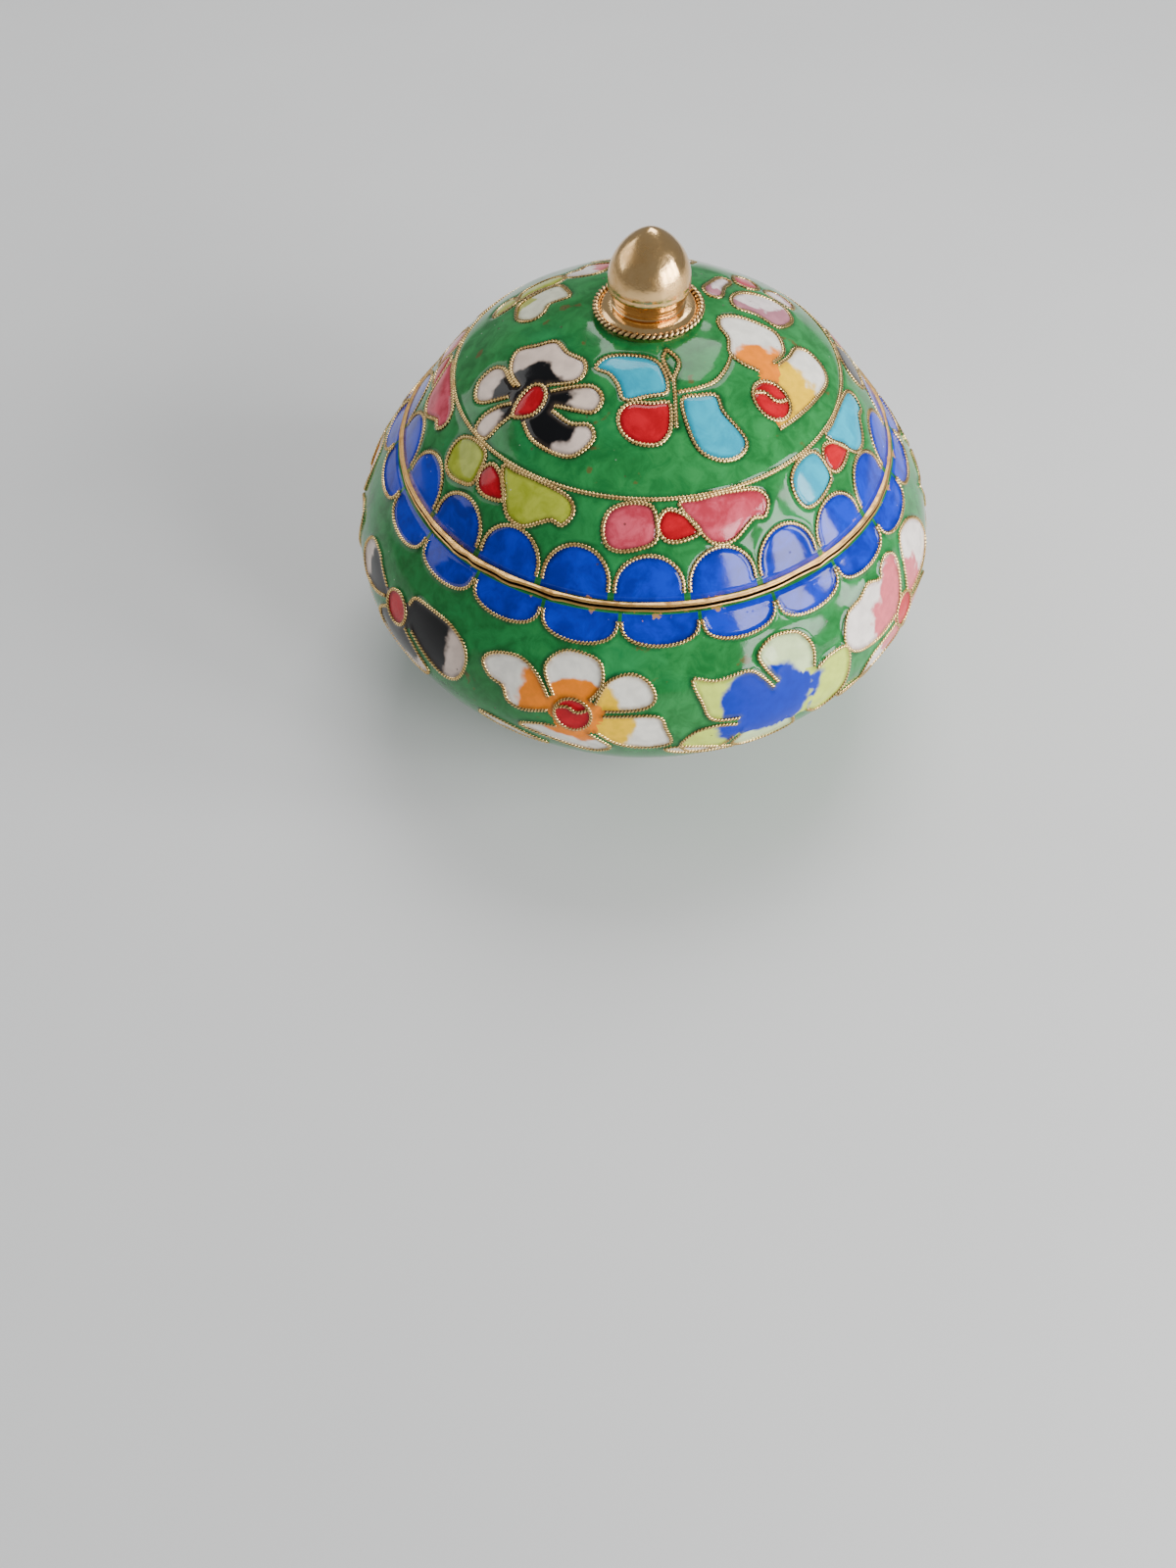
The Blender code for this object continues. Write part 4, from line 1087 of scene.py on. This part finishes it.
def build_collar():
    """The ring of twisted wire round the knob's seat."""
    turns = np.linspace(0.0, 2 * pi, COLLAR_CORNERS, endpoint=False)
    ring = np.column_stack((COLLAR_RADIUS * np.sin(turns), -COLLAR_RADIUS * np.cos(turns),
                            np.full(COLLAR_CORNERS, COLLAR_Z - COLLAR_SINK)))
    up = np.tile((0.0, 0.0, 1.0), (COLLAR_CORNERS, 1))
    points, faces, groove_shades = twisted(ring, up, True, COLLAR_CREST, COLLAR_WAIST, COLLAR_TWIST)
    collar = new_piece("twisted_collar", points, faces, [BRASS_COLLAR],
                       marks={"groove_shade": groove_shades})
    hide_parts("knob_collar")


def build_box():
    bowl = Shell(BOWL_PROFILE, BOWL_EDGE, UNDERSIDE_Z, BOWL_WALL, True)
    lid = Shell(LID_PROFILE, LID_EDGE, LID_TOP_Z, LID_WALL, False)
    for name, picture in (("bowl", bowl_picture(bowl)), ("lid", lid_picture(lid))):
        picture.enamel(name + "_enamel", name)
        picture.twisted_wires(name + "_wires")
    build_rims()
    section = rounded_band(FOOT_OUTER_RADIUS - FOOT_WALL, FOOT_OUTER_RADIUS, 0.0, UNDERSIDE_Z,
                           FOOT_ROUNDING)
    turned("foot_band", section, GILT_RIM, "foot_ring")
    build_collar()
    turned("turned_knob", knob_profile(), BRASS_KNOB, "knob",
           segments=KNOB_SEGMENTS, closed=False)


def knob_profile():
    """From the tip down: pointed top, ball with a fine ridge, neck ring and skirt."""
    neck_turn = acos(KNOB_NECK_RADIUS / KNOB_BALL_RADIUS)
    ball_z = KNOB_NECK_Z + KNOB_BALL_RADIUS * sin(neck_turn)
    profile = []
    for step in range(KNOB_TOP_STEPS):
        rise = cos(pi / 2 * step / KNOB_TOP_STEPS)
        radius = KNOB_BALL_RADIUS * (1.0 - rise * rise) ** KNOB_TOP_POWER
        profile.append((radius, ball_z + (KNOB_TIP_Z - ball_z) * rise))
    for step in range(KNOB_BALL_STEPS + 1):
        turn = neck_turn * step / KNOB_BALL_STEPS
        ridge = KNOB_RIDGE if 2 < step < 5 else 0.0
        profile.append(((KNOB_BALL_RADIUS + ridge) * cos(turn),
                        ball_z - KNOB_BALL_RADIUS * sin(turn)))
    neck, skirt = KNOB_NECK_RADIUS, KNOB_SKIRT_RADIUS
    profile += [
        (neck + 0.20, KNOB_NECK_Z - 0.03), (neck + 0.26, KNOB_NECK_Z - 0.11),
        (neck + 0.20, KNOB_NECK_Z - 0.19), (neck + 0.05, KNOB_NECK_Z - 0.24),
        (neck + 0.50, KNOB_NECK_Z - 0.27), (skirt - 0.65, KNOB_NECK_Z - 0.36),
        (skirt - 0.45, KNOB_NECK_Z - 0.46), (skirt - 0.3, KNOB_NECK_Z - 0.7),
        (skirt, KNOB_NECK_Z - 0.8), (skirt, LID_TOP_Z - 0.05), (0.0, LID_TOP_Z - 0.05),
    ]
    return profile


def build_floor():
    """A plain pale board."""
    shades = Shades("pale board")
    grain = shades.speckle(40.0, 4.0)
    colour = shades.mix(grain, (0.66, 0.66, 0.66), (0.72, 0.72, 0.71))
    board = shades.finish(Base_Color=colour, Roughness=0.55)
    mesh = bpy.data.meshes.new("board")
    half = BOARD_HALF
    points = [(-half, -half, 0.0), (half, -half, 0.0), (half, half, 0.0), (-half, half, 0.0)]
    mesh.from_pydata(points, [], [(0, 1, 2, 3)])
    mesh.materials.append(board)
    floor = bpy.data.objects.new("board", mesh)
    bpy.context.scene.collection.objects.link(floor)


def build_light():
    """A pale room, a window of three panes on the right, a softbox and a bright wall."""
    world = bpy.data.worlds.new("soft room")
    world.use_nodes = True
    background = world.node_tree.nodes["Background"]
    background.inputs["Color"].default_value = ROOM_COLOUR
    background.inputs["Strength"].default_value = ROOM_STRENGTH
    bpy.context.scene.world = world
    for name, place, size, power in LAMPS:
        lamp = bpy.data.lights.new(name, "AREA")
        lamp.shape = "RECTANGLE"
        lamp.size, lamp.size_y = (side * MM for side in size)
        lamp.energy = power
        thing = bpy.data.objects.new(name, lamp)
        thing.location = Vector(place) * MM
        ahead = Vector(LAMPS_AIM) - thing.location
        thing.rotation_euler = ahead.to_track_quat("-Z", "Y").to_euler()
        bpy.context.scene.collection.objects.link(thing)


def build_camera():
    """A hand-held view from above the front."""
    tilt, roll = radians(CAMERA_TILT), radians(CAMERA_ROLL)
    ahead = Vector((0.0, cos(tilt), -sin(tilt)))
    level_up = Vector((0.0, sin(tilt), cos(tilt)))
    right = Vector((cos(roll), 0.0, 0.0)) + sin(roll) * level_up
    up = cos(roll) * level_up - Vector((sin(roll), 0.0, 0.0))
    data = bpy.data.cameras.new("photo view")
    data.lens = CAMERA_LENS
    data.sensor_width = CAMERA_SENSOR
    data.clip_start = CAMERA_CLIP
    camera = bpy.data.objects.new("photo view", data)
    turn = Matrix((right, up, -ahead)).transposed().to_4x4()
    camera.matrix_world = Matrix.Translation(Vector(CAMERA_PLACE) * MM) @ turn
    bpy.context.scene.collection.objects.link(camera)
    bpy.context.scene.camera = camera


build_box()
build_floor()
build_light()
build_camera()
